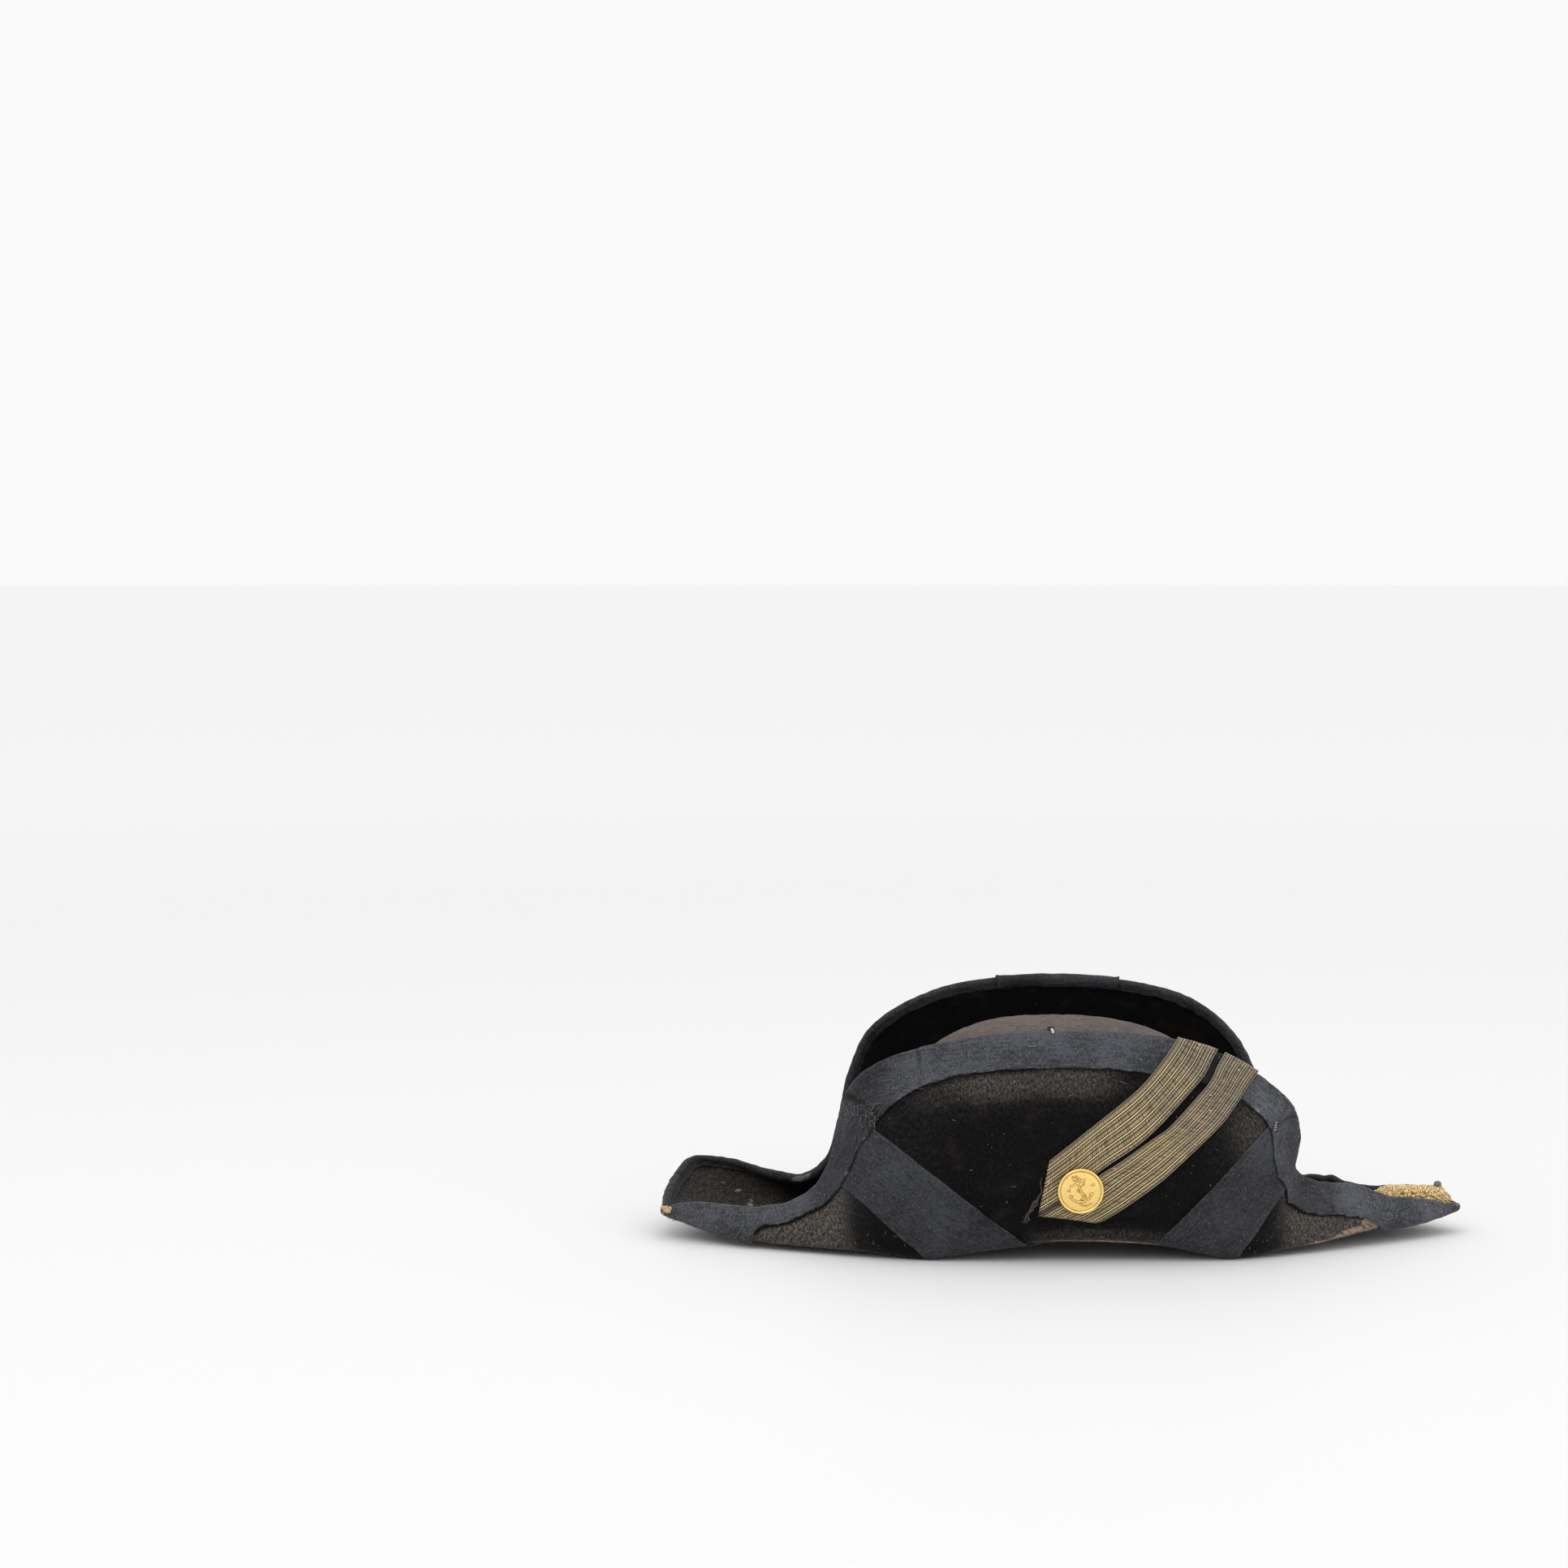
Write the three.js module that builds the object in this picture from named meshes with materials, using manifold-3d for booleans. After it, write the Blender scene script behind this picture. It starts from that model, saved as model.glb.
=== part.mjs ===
// A naval bicorne, worn fore and aft: a felt crown, and a brim turned up into two flaps that run out into a
// front and a rear peak. The edge is bound in ribbon, two ribbons slant down the right flap, and the same
// flap carries a loop of gold lace under a gilt button. Millimetres. +X is the front, +Y the wearer's left, +Z up,
// and the origin is on the surface that the hat rests on, below its middle.
import * as THREE from "three";
import { mergeVertices } from "three/addons/utils/BufferGeometryUtils.js";
import Module from "manifold-3d";

const wasm = await Module();
wasm.setup();

// ---------------------------------------------------------------- driving dimensions
const FELT = 2.5; // wall of the crown and brim
const RIBBON = 0.8; // wall of the binding and of the slanting ribbons
const LACE = 1.0; // wall of the gold lace
const GAP = 0.45; // between two pieces that lie on each other
const CORNER = 7; // radius at the fold where the brim turns up
const FOOT = 19; // how far the floor runs level, inwards from the fold
const KEEL_RISE = 2.5; // how far the floor of the brim rises between the folds
const BINDING = { outer: 20.5, inner: 10, gap: 0.5 }; // depth of the binding on each face of the brim
const OVERLAP = { from: -27, to: 41, outer: 18, inner: 8 }; // second layer of binding on the left flap
const CROWN = { x: 1, length: 202, width: 168, top: 115.5, squareness: 2.65, sides: 40 };
const BUTTON = { x: 6, height: 37.5, sides: 32 };
const LACE_TAIL = 12; // how far the lace is turned in over the edge
const LACE_SLIT = 2.4; // between its two runs
const BULLION = { radius: 3.5, scrapRadius: 1.2, sides: 8, step: 4.5, twist: 0.5, groove: 0.12, taper: 0.6 };

// ---------------------------------------------------------------- the brim's leading lines
// The three tables have a row for each of the same sections, from the rear tip to the front tip. The two
// edges are the finished ones, over the binding.
const table = (columns, values) =>
  values.map((row) => Object.fromEntries(columns.split(" ").map((name, i) => [name, row[i]])));

const RIGHT_EDGE = table("x y z", [
  [-209, -23, 15.2],
  [-201, -27, 19],
  [-190, -34, 21],
  [-172, -42, 21],
  [-155, -47, 21.5],
  [-141, -49, 25],
  [-129, -50, 33],
  [-121, -52, 48],
  [-117, -55, 67],
  [-111, -60, 86],
  [-97, -66, 100],
  [-57, -73, 112.5],
  [-5, -76, 118],
  [52, -74, 114],
  [84, -70, 103.5],
  [108, -62.5, 87.5],
  [119.5, -57, 75],
  [122, -54, 63],
  [119.3, -51, 49],
  [124, -49, 38.5],
  [137, -48, 34.5],
  [153, -43, 33],
  [172, -32, 25],
  [196, -18, 20.5],
  [214.5, -7.5, 14.6],
]);

const LEFT_EDGE = table("x y z", [
  [-209.5, -16, 17],
  [-207.5, 6, 22.5],
  [-204, 22, 27],
  [-196, 38, 33],
  [-175, 48, 31],
  [-152, 54, 23.5],
  [-135, 57, 20.5],
  [-122, 58, 30],
  [-115, 60, 52],
  [-109, 65, 78],
  [-97, 71, 101],
  [-60, 80, 121],
  [-8, 87, 127.5],
  [48, 86, 124.5],
  [82, 80, 115],
  [104, 72, 97],
  [114.5, 65, 77],
  [121, 61, 57],
  [126, 58, 40],
  [133, 56, 27],
  [144, 54, 22],
  [158, 48, 21],
  [177, 38.5, 18.5],
  [198, 24, 20.5],
  [214.5, 2, 15],
]);

// The folds, where the brim turns up, and how far the wall above each bulges out. The left fold lies lower
// where the hat rests, because no ribbon passes below it.
const FOLD = table("x right left z bulge", [
  [-207, -20.5, -17, 13.4, 0],
  [-200, -25, 1, 11.2, 0],
  [-190, -34, 19, 9, 1],
  [-174, -45, 35, 6, 1.5],
  [-155, -56, 50, 4, 2],
  [-134, -67, 64, 4, 3],
  [-117, -75, 74, 3.9, 5],
  [-103, -80, 80, 3.9, 7],
  [-91, -83, 84, 3, 9],
  [-82, -85, 86, 1.7, 10],
  [-73, -86.5, 88, 1.6, 10.5],
  [-50, -89, 91, 5.4, 11],
  [-4, -91, 93.5, 10.9, 11.5],
  [47, -90, 92, 9.6, 11],
  [70, -87.5, 89.5, 4.9, 10.5],
  [84, -85, 87, 1.6, 10],
  [92, -83, 85, 1.7, 9],
  [99, -81, 83, 2.6, 8],
  [106, -78.5, 80.5, 3.4, 6.5],
  [116, -74, 76, 4.2, 4.5],
  [129, -67, 69, 5, 3],
  [146, -56, 58, 7, 2],
  [167, -41, 43, 8.8, 1.5],
  [193, -22, 24, 9.2, 1],
  [213.5, -4.5, -0.5, 13.2, 0],
]);

const WALL_STEPS = 4;
const CORNER_STEPS = 2;
const FACET = 15; // the longest facet along the brim's edge
const CRUMB = 0.01; // facets smaller than this are welded away after a cut
const HALVINGS = 24; // when a place on the brim is searched for
const RIGHT = -1;
const LEFT = 1;

// Where the brim's edge is short, the rounding of the fold is a share of the wall and of the floor.
const ROUNDING = { wall: 0.22, floor: 0.4, foot: 0.6 };

const mix = (a, b, k) => a + (b - a) * k;
const clamp = THREE.MathUtils.clamp;
const smooth = (from, to, value) => THREE.MathUtils.smoothstep(value, from, to);

const curve = (list, point) => new THREE.CatmullRomCurve3(list.map(point), false, "centripetal");
const BINDING_LIFT = FELT / 2 + BINDING.gap; // from the brim's middle to the binding
const edgeCurve = {
  [RIGHT]: curve(RIGHT_EDGE, (r) => new THREE.Vector3(r.x, r.y, r.z)),
  [LEFT]: curve(LEFT_EDGE, (r) => new THREE.Vector3(r.x, r.y, r.z)),
};
const foldCurve = {
  [RIGHT]: curve(FOLD, (r) => new THREE.Vector3(r.x, r.right, r.z)),
  [LEFT]: curve(FOLD, (r) => new THREE.Vector3(r.x, r.left, r.z - (RIBBON + GAP) * (1 - smooth(3, 10, r.z)))),
};
const bulgeCurve = curve(FOLD, (r) => new THREE.Vector3(r.x, r.bulge, 0));

// The sections at which the brim is faceted, as shares of the way from the rear tip to the front tip: more of
// them where its edge runs far from one section of the tables to the next.
function facetedSections() {
  const spans = FOLD.length - 1;
  const sections = [0];
  for (let i = 0; i < spans; i++) {
    const [a, b] = RIGHT_EDGE.slice(i, i + 2).map((row) => new THREE.Vector3(row.x, row.y, row.z));
    const steps = Math.round(a.distanceTo(b) / FACET) || 1;
    for (let k = 1; k <= steps; k++) sections.push((i + k / steps) / spans);
  }
  return sections;
}
const SECTIONS = facetedSections();

// ---------------------------------------------------------------- the brim's middle surface
function bezier(a, control, b, k) {
  const one = 1 - k;
  return a.clone().multiplyScalar(one * one)
    .addScaledVector(control, 2 * one * k)
    .addScaledVector(b, k * k);
}

// Half a cross-section, from the free edge down the wall, round the fold and along the floor to the keel. The
// free edge lies inside the finished one by the thickness of the binding.
function halfSection(u, side) {
  const edge = edgeCurve[side].getPoint(u);
  const fold = foldCurve[side].getPoint(u);
  const tangent = edgeCurve[side].getTangent(u);
  const inward = fold.clone().sub(edge);
  inward.addScaledVector(tangent, -inward.dot(tangent)).normalize();
  edge.addScaledVector(inward, BINDING_LIFT + RIBBON);
  const keel = foldCurve[RIGHT].getPoint(u).lerp(foldCurve[LEFT].getPoint(u), 0.5);
  const across = keel.clone().sub(fold);
  const foot = fold.clone().addScaledVector(across, Math.min(FOOT / across.length(), ROUNDING.foot));
  foot.z = fold.z;
  keel.z += KEEL_RISE * smooth(8, 60, across.length());
  const middle = edge.clone().lerp(fold, 0.5);
  middle.y += side * bulgeCurve.getPoint(u).y;
  const wallRadius = Math.min(CORNER, ROUNDING.wall * edge.distanceTo(fold));
  const floorRadius = Math.min(CORNER, ROUNDING.floor * across.length());
  const start = fold.clone().addScaledVector(middle.clone().sub(fold).normalize(), wallRadius);
  const end = fold.clone().addScaledVector(foot.clone().sub(fold).normalize(), floorRadius);
  const control = middle.clone().multiplyScalar(2).sub(edge.clone().add(start).multiplyScalar(0.5));
  const points = [];
  for (let i = 0; i < WALL_STEPS; i++) points.push(bezier(edge, control, start, i / WALL_STEPS));
  for (let i = 0; i < CORNER_STEPS; i++) points.push(bezier(start, fold, end, i / CORNER_STEPS));
  points.push(end, foot, keel);
  return points;
}

// How far it is along a half-section from the edge to each of its points.
function reaches(points) {
  const sums = [0];
  for (let i = 1; i < points.length; i++) sums.push(sums[i - 1] + points[i].distanceTo(points[i - 1]));
  return sums;
}

const halfLength = (u, side) => reaches(halfSection(u, side)).at(-1);

// The point of the middle surface at a depth below the free edge, measured along the section.
function surfacePoint(u, side, depth) {
  const points = halfSection(clamp(u, 0, 1), side);
  const sums = reaches(points);
  let i = 1;
  while (i < points.length - 1 && sums[i] < depth) i++;
  const k = (depth - sums[i - 1]) / (sums[i] - sums[i - 1]);
  return points[i - 1].clone().lerp(points[i], k);
}

// The outward unit normal there.
function surfaceNormal(u, side, depth) {
  const du = 0.004;
  const step = 0.6;
  const [before, after] = [Math.max(u - du, 0), Math.min(u + du, 1)];
  const along = surfacePoint(after, side, depth).sub(surfacePoint(before, side, depth));
  const down = surfacePoint(u, side, depth + step).sub(surfacePoint(u, side, Math.max(depth - step, 0)));
  return down.cross(along).normalize().multiplyScalar(-side);
}

// Whatever lies outermost on a side rests on the surface below, and each layer above it keeps its wall.
const OUTERMOST = { [RIGHT]: FELT / 2 + GAP + RIBBON, [LEFT]: FELT / 2 };
function layered(u, side, depth, lift) {
  const p = surfacePoint(u, side, depth).addScaledVector(surfaceNormal(u, side, depth), lift);
  p.z = Math.max(p.z, OUTERMOST[side] - lift);
  return p;
}

// The section whose wall passes a place along the hat, at a depth below the edge.
function sectionAt(x, side, depth) {
  let low = 0;
  let high = 1;
  for (let i = 0; i < HALVINGS; i++) {
    const middle = (low + high) / 2;
    if (surfacePoint(middle, side, depth).x < x) low = middle;
    else high = middle;
  }
  return (low + high) / 2;
}

// ---------------------------------------------------------------- solids
function toSolid(geometry, weld = 1e-4) {
  const bare = geometry.clone();
  bare.deleteAttribute("normal");
  bare.deleteAttribute("uv");
  const merged = mergeVertices(bare, weld);
  const index = merged.index.array;
  const kept = [];
  for (let i = 0; i < index.length; i += 3) {
    const [a, b, c] = index.slice(i, i + 3);
    if (a !== b && b !== c && c !== a) kept.push(a, b, c);
  }
  return new wasm.Manifold(new wasm.Mesh({
    numProp: 3,
    vertProperties: merged.attributes.position.array,
    triVerts: new Uint32Array(kept),
  }));
}

function solidFrom(vertices, triangles) {
  const geometry = new THREE.BufferGeometry();
  const flat = vertices.flatMap((v) => [v.x, v.y, v.z]);
  geometry.setAttribute("position", new THREE.BufferAttribute(new Float32Array(flat), 3));
  geometry.setIndex(triangles);
  return toSolid(geometry);
}

// Rings of points skinned one to the next. A ring runs out and back, so that its ends are closed in strips.
function loft(rings, { closed = false } = {}) {
  const count = rings[0].length;
  const triangles = [];
  const quad = (a, b, c, d) => triangles.push(a, b, c, a, c, d);
  const spans = closed ? rings.length : rings.length - 1;
  for (let i = 0; i < spans; i++) {
    const here = i * count;
    const next = ((i + 1) % rings.length) * count;
    for (let j = 0; j < count; j++) {
      const k = (j + 1) % count;
      quad(here + j, here + k, next + k, next + j);
    }
  }
  if (!closed) {
    const last = (rings.length - 1) * count;
    for (let j = 0; j < count / 2; j++) {
      const [a, b, c, d] = [j, j + 1, count - 2 - j, count - 1 - j];
      quad(a, d, c, b);
      quad(last + a, last + b, last + c, last + d);
    }
  }
  const vertices = rings.flat();
  const solid = solidFrom(vertices, triangles);
  return solid.volume() < 0 ? solidFrom(vertices, triangles.reverse()) : solid;
}

// A wall between two grids of points that have the same rows and columns.
const wall = (outer, inner) => loft(outer.map((row, i) => [...row, ...[...inner[i]].reverse()]));

function toGeometry(solid) {
  const mesh = solid.getMesh();
  const geometry = new THREE.BufferGeometry();
  geometry.setAttribute("position", new THREE.BufferAttribute(mesh.vertProperties, 3));
  geometry.setIndex(new THREE.BufferAttribute(mesh.triVerts, 1));
  return geometry;
}

// The main body of a cut solid, without the crumbs and hair-thin facets that a cut can leave.
function mainBody(solid) {
  const largest = (parts) => parts.sort((a, b) => b.volume() - a.volume())[0];
  return largest(toSolid(toGeometry(largest(solid.decompose())), CRUMB).decompose());
}

const group = new THREE.Group();
group.name = "bicorne";

function addPiece(name, solid, material) {
  const geometry = toGeometry(solid);
  geometry.computeVertexNormals();
  const piece = new THREE.Mesh(geometry, material);
  piece.name = name;
  group.add(piece);
}

const plush = new THREE.MeshStandardMaterial({ color: 0x231e1b, roughness: 0.95 });
const crownFelt = new THREE.MeshStandardMaterial({ color: 0x645549, roughness: 0.9 });
const ribbon = new THREE.MeshStandardMaterial({ color: 0x262932, roughness: 0.7 });
const goldLace = new THREE.MeshStandardMaterial({ color: 0x96825f, roughness: 0.5, metalness: 0.5 });
const gilt = new THREE.MeshStandardMaterial({ color: 0xe1aa46, roughness: 0.3, metalness: 1 });
const bullion = new THREE.MeshStandardMaterial({ color: 0xbe9655, roughness: 0.5, metalness: 0.7 });

// ---------------------------------------------------------------- brim
// The brim's surface at a height over its middle, as a row of points for each section, from edge to edge.
function brimLayer(lift) {
  const layer = [];
  for (const u of SECTIONS) {
    const half = (side) => reaches(halfSection(u, side)).map((depth) => layered(u, side, depth, lift));
    layer.push([...half(RIGHT), ...half(LEFT).reverse().slice(1)]);
  }
  return layer;
}

const ovalX = (angle, grow) => CROWN.x + (CROWN.length / 2 + grow) * Math.cos(angle);
const ovalY = (angle, grow) => (CROWN.width / 2 + grow) * Math.sin(angle);

function headHole(grow) {
  const shape = new THREE.Shape();
  for (let i = 0; i < CROWN.sides; i++) {
    const angle = (2 * Math.PI * i) / CROWN.sides;
    const corner = [ovalX(angle, grow), ovalY(angle, grow)];
    if (i) shape.lineTo(...corner);
    else shape.moveTo(...corner);
  }
  const prism = new THREE.ExtrudeGeometry(shape, { depth: 40, bevelEnabled: false });
  prism.translate(0, 0, -10);
  return toSolid(prism);
}

addPiece("brim", wall(brimLayer(FELT / 2), brimLayer(-FELT / 2)).subtract(headHole(GAP)), plush);

// ---------------------------------------------------------------- crown
// The height of the brim's floor at a place near the head hole.
function floorHeight(x, y) {
  const side = y < 0 ? RIGHT : LEFT;
  let low = 0;
  let high = 1;
  for (let i = 0; i < HALVINGS; i++) {
    const middle = (low + high) / 2;
    if (foldCurve[side].getPoint(middle).x < x) low = middle;
    else high = middle;
  }
  const points = halfSection(low, side);
  const keel = points.at(-1);
  const fold = foldCurve[side].getPoint(low);
  return mix(keel.z, fold.z, clamp((y - keel.y) / (fold.y - keel.y), 0, 1));
}

function crownRing(rise, inset) {
  const top = CROWN.top - inset;
  const grow = -inset;
  const ring = [];
  for (let i = 0; i < CROWN.sides; i++) {
    const angle = (2 * Math.PI * i) / CROWN.sides;
    const shrink = Math.pow(1 - Math.pow(rise, CROWN.squareness), 1 / CROWN.squareness);
    const x = mix(CROWN.x, ovalX(angle, grow), shrink);
    const y = ovalY(angle, grow) * shrink;
    const base = floorHeight(ovalX(angle, 0), ovalY(angle, 0)) - FELT / 2;
    ring.push(new THREE.Vector3(x, y, mix(base, top, rise)));
  }
  return ring;
}

function crownSolid() {
  const rises = [0, 0.25, 0.45, 0.62, 0.76, 0.87, 0.945, 0.985, 1];
  const outer = rises.map((rise) => crownRing(rise, 0));
  const inner = rises.map((rise) => crownRing(rise, FELT)).reverse();
  return loft([...outer, ...inner], { closed: true });
}
addPiece("crown", crownSolid(), crownFelt);

// ---------------------------------------------------------------- edge binding
const TIP_EASE = 0.6; // how much looser the binding is at the tips
const TIP_DEPTH = 1.5; // its depth at the very tips
const TIP_ROUNDING = 0.85; // how far it stands off the corners of a tip, as a share of its height

// The direction out beyond the free edge, in line with the wall.
function beyond(u, side) {
  return surfaceNormal(u, side, 0).cross(edgeCurve[side].getTangent(u)).normalize().multiplyScalar(-side);
}

const crest = (u, side, lift) => surfacePoint(u, side, 0).addScaledVector(beyond(u, side), lift);
const eased = (u, lift) => lift + TIP_EASE * (1 - smooth(0, 0.08, Math.min(u, 1 - u)));

// The depth along the section at which a ribbon of some width ends, its width being square to the edge.
const STEEPEST = 0.75; // where the edge runs steeply across the section
function ribbonEnd(u, side, width, share) {
  const inward = surfacePoint(u, side, 1).sub(surfacePoint(u, side, 0)).normalize();
  const slant = inward.cross(edgeCurve[side].getTangent(u)).length();
  return Math.min(width / Math.max(slant, STEEPEST), share * reaches(halfSection(u, side))[WALL_STEPS]);
}

// The depths of a face's facets from the edge to a ribbon's end.
function facetDepths(u, side, end) {
  return [...reaches(halfSection(u, side)).slice(0, -1), end].map((depth) => Math.min(depth, end));
}

// One skin of a ribbon folded over the edge: from its end on the outer face, over the crest, to its end
// inside. It goes no further than these shares of the wall.
const REACH = { outer: 0.88, inner: 0.6 };
function foldedSkin(u, side, lift, width, top = crest(u, side, eased(u, lift))) {
  const outer = facetDepths(u, side, ribbonEnd(u, side, width.outer, REACH.outer));
  const inner = facetDepths(u, side, ribbonEnd(u, side, width.inner, REACH.inner));
  return [
    ...outer.map((depth) => layered(u, side, depth, eased(u, lift))).reverse(),
    top,
    ...inner.map((depth) => layered(u, side, depth, -eased(u, lift))),
  ];
}

const foldedRing = (skin) => [...skin(BINDING_LIFT + RIBBON), ...skin(BINDING_LIFT).reverse()];

// The binding turns each tip in three rings: one at either corner and one in the middle.
function tipRings(u, from, to) {
  const forward = new THREE.Vector3(u ? 1 : -1, 0, 0);
  const corner = (side) => foldedRing((lift) => {
    const top = surfacePoint(u, side, 0).addScaledVector(beyond(u, side).add(forward), TIP_ROUNDING * lift);
    return foldedSkin(u, side, lift, BINDING, top);
  });
  const middle = foldedRing((lift) => {
    const keel = surfacePoint(u, RIGHT, halfLength(u, RIGHT));
    const up = new THREE.Vector3(0, 0, lift);
    const count = (foldedSkin(u, RIGHT, lift, BINDING).length - 1) / 2 - 1;
    const below = keel.clone().sub(up);
    const above = keel.clone().add(up);
    return [
      below.clone().addScaledVector(forward, -TIP_DEPTH),
      ...Array(count).fill(below),
      keel.clone().addScaledVector(forward, lift),
      ...Array(count).fill(above),
      above.clone().addScaledVector(forward, -TIP_DEPTH),
    ];
  });
  return [corner(from), middle, corner(to)];
}

function edgeBinding() {
  const run = (side) => SECTIONS.map((u) => foldedRing((lift) => foldedSkin(u, side, lift, BINDING)));
  const front = tipRings(1, RIGHT, LEFT);
  const rear = tipRings(0, LEFT, RIGHT);
  return loft([...run(RIGHT), ...front, ...run(LEFT).reverse(), ...rear], { closed: true });
}
addPiece("edge_binding", edgeBinding(), ribbon);

// The second layer of ribbon, where the binding's two ends lie over each other.
function bindingOverlap() {
  const from = sectionAt(OVERLAP.from, LEFT, 0);
  const to = sectionAt(OVERLAP.to, LEFT, 0);
  const sections = [from, ...SECTIONS.filter((u) => u > from && u < to), to];
  const lift = BINDING_LIFT + RIBBON + GAP;
  const ring = (u) => {
    const skin = (height) => foldedSkin(u, LEFT, height, OVERLAP);
    return [...skin(lift + RIBBON), ...skin(lift).reverse()];
  };
  return loft(sections.map(ring));
}
addPiece("binding_overlap", bindingOverlap(), ribbon);

// ---------------------------------------------------------------- outlines cut through the right flap
// A prism with an outline of x and z, from one y to another.
function prism(outline, nearY, farY) {
  const shape = new THREE.Shape(outline.map(([x, z]) => new THREE.Vector2(x, z)));
  const geometry = new THREE.ExtrudeGeometry(shape, { depth: farY - nearY, bevelEnabled: false });
  geometry.rotateX(Math.PI / 2);
  geometry.translate(0, farY, 0);
  return toSolid(geometry);
}

const BEYOND = -130; // well outside the right flap
const MARGIN = 0.03; // a section or so more at either end
const between = (from, to) => SECTIONS.filter((u) => u > from - MARGIN && u < to + MARGIN);

// ---------------------------------------------------------------- slanting ribbons
// Outlines in x and z on the right flap. Each ribbon runs from the binding's lower edge
// down and round under the fold.
const RIBBON_INSET = 3; // how far from the crown it ends, below the brim
const SLANT_RIBBONS = {
  front_slant_ribbon: [
    [103, 70], [101, 70], [43.5, 10.3], [31, -2], [84, -2], [90, 6], [111, 33], [108.5, 45], [105.8, 62.2],
  ],
  rear_slant_ribbon: [
    [-90, 70], [-104, 72], [-120, 33], [-112.8, 35.3], [-70.4, 1.6], [-66, -2], [-8, -2], [-22, 10.7],
  ],
};

function slantRibbon(outline) {
  const xs = outline.map(([x]) => x);
  const sections = between(sectionAt(Math.min(...xs), RIGHT, 30), sectionAt(Math.max(...xs), RIGHT, 30));
  const layer = (lift) => sections.map((u) =>
    reaches(halfSection(u, RIGHT)).slice(0, -1).map((depth) => layered(u, RIGHT, depth, lift)));
  const lift = FELT / 2 + GAP;
  const sheet = wall(layer(lift + RIBBON), layer(lift));
  const trim = (lift) => sections.map((u) => {
    const depths = facetDepths(u, RIGHT, ribbonEnd(u, RIGHT, BINDING.outer, REACH.outer) + GAP);
    return [-CORNER, ...depths].map((depth) => layered(u, RIGHT, depth, lift));
  });
  const cut = sheet.intersect(prism(outline, BEYOND, 0)).subtract(wall(trim(CORNER), trim(0)));
  return mainBody(cut.subtract(headHole(RIBBON_INSET)));
}
for (const [name, outline] of Object.entries(SLANT_RIBBONS)) addPiece(name, slantRibbon(outline), ribbon);

// ---------------------------------------------------------------- lace loop
const LACE_OUTLINE = [
  [62.3, 126], [57.8, 114.5], [33, 85.2], [5.7, 65.1], [-2.5, 61.7], [-8.8, 54.8], [-10.9, 44.5],
  [-14.2, 26.7], [11.9, 20.5], [18, 20.5], [30.5, 28], [55.5, 48.4], [76.8, 68.3], [98.5, 94.5], [104, 107],
];
const SLIT_LINE = [[84.5, 122], [79, 107.5], [69, 90], [54, 71.5], [36, 54.5], [15, 40.3]];

// A strip of some width along a line.
function stripOutline(line, width) {
  const side = (sign) => line.map(([x, z], i) => {
    const [x0, z0] = line[Math.max(i - 1, 0)];
    const [x1, z1] = line[Math.min(i + 1, line.length - 1)];
    const across = new THREE.Vector2(z0 - z1, x1 - x0).setLength((sign * width) / 2);
    return [x + across.x, z + across.y];
  });
  return [...side(1), ...side(-1).reverse()];
}

// The lace lies over the binding at the top of the flap, and on the felt below it.
const LACE_STEP = { from: 1, to: 7 }; // past the binding's lower edge, where the lace comes down to the felt
function laceLift(u, depth, thickness) {
  const step = ribbonEnd(u, RIGHT, BINDING.outer, 1);
  const high = BINDING_LIFT + RIBBON + GAP;
  const low = FELT / 2 + GAP;
  return mix(high, low, smooth(step + LACE_STEP.from, step + LACE_STEP.to, depth)) + thickness;
}

function laceLoop() {
  const sections = between(sectionAt(-14, RIGHT, 40), sectionAt(104, RIGHT, 0));
  const skin = (u, thickness) => {
    const step = ribbonEnd(u, RIGHT, BINDING.outer, 1);
    const walls = reaches(halfSection(u, RIGHT)).slice(0, WALL_STEPS + 1);
    const outer = [...walls, step + LACE_STEP.from, step + LACE_STEP.to].sort((a, b) => a - b);
    const high = laceLift(u, 0, thickness);
    return [
      ...outer.map((depth) => layered(u, RIGHT, depth, laceLift(u, depth, thickness))).reverse(),
      crest(u, RIGHT, high),
      ...[0, LACE_TAIL].map((depth) => layered(u, RIGHT, depth, -high)),
    ];
  };
  const sheet = loft(sections.map((u) => [...skin(u, LACE), ...skin(u, 0).reverse()]));
  const slit = prism(stripOutline(SLIT_LINE, LACE_SLIT), BEYOND, 0);
  return mainBody(sheet.intersect(prism(LACE_OUTLINE, BEYOND, 0)).subtract(slit));
}
addPiece("lace_loop", laceLoop(), goldLace);

// ---------------------------------------------------------------- button
// The profile of the button, out from its axis and up from its back, with a raised rim.
const BUTTON_PROFILE = table("radius rise", [
  [0, 0],
  [10.6, 0],
  [11.8, 0.9],
  [11.8, 1.7],
  [11.2, 2.3],
  [10.5, 2.2],
  [10.1, 1.8],
  [6, 2.6],
  [0, 3],
]);
const RELIEF_TOP = 3.4;
const RELIEF_FOOT = 1.2;
// Strokes of the fouled anchor, on the face.
const ANCHOR = table("fromX fromY toX toY width", [
  [-2.3, 5.8, 2.3, -4.7, 1.3],
  [-5.3, 2.8, 1.9, 6.6, 1.1],
  [-5.1, -3.2, -1.8, -5.2, 1.3],
  [-2.4, -5, 2.6, -5, 1.3],
  [2, -5.2, 5.6, -2.6, 1.3],
  [5.2, -3.2, 6.9, 0.4, 1.3],
]);
const ANCHOR_RING = { x: -3, y: 7.2, radius: 1.5, wire: 0.4 };
const STAR_SINK = 0.4; // how far the stars stand lower than the anchor
const STAR_WAIST = 0.45;
const STARS = table("x y radius", [
  [-6, -0.6, 1.7],
  [6, 4.2, 1.7],
]);

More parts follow.
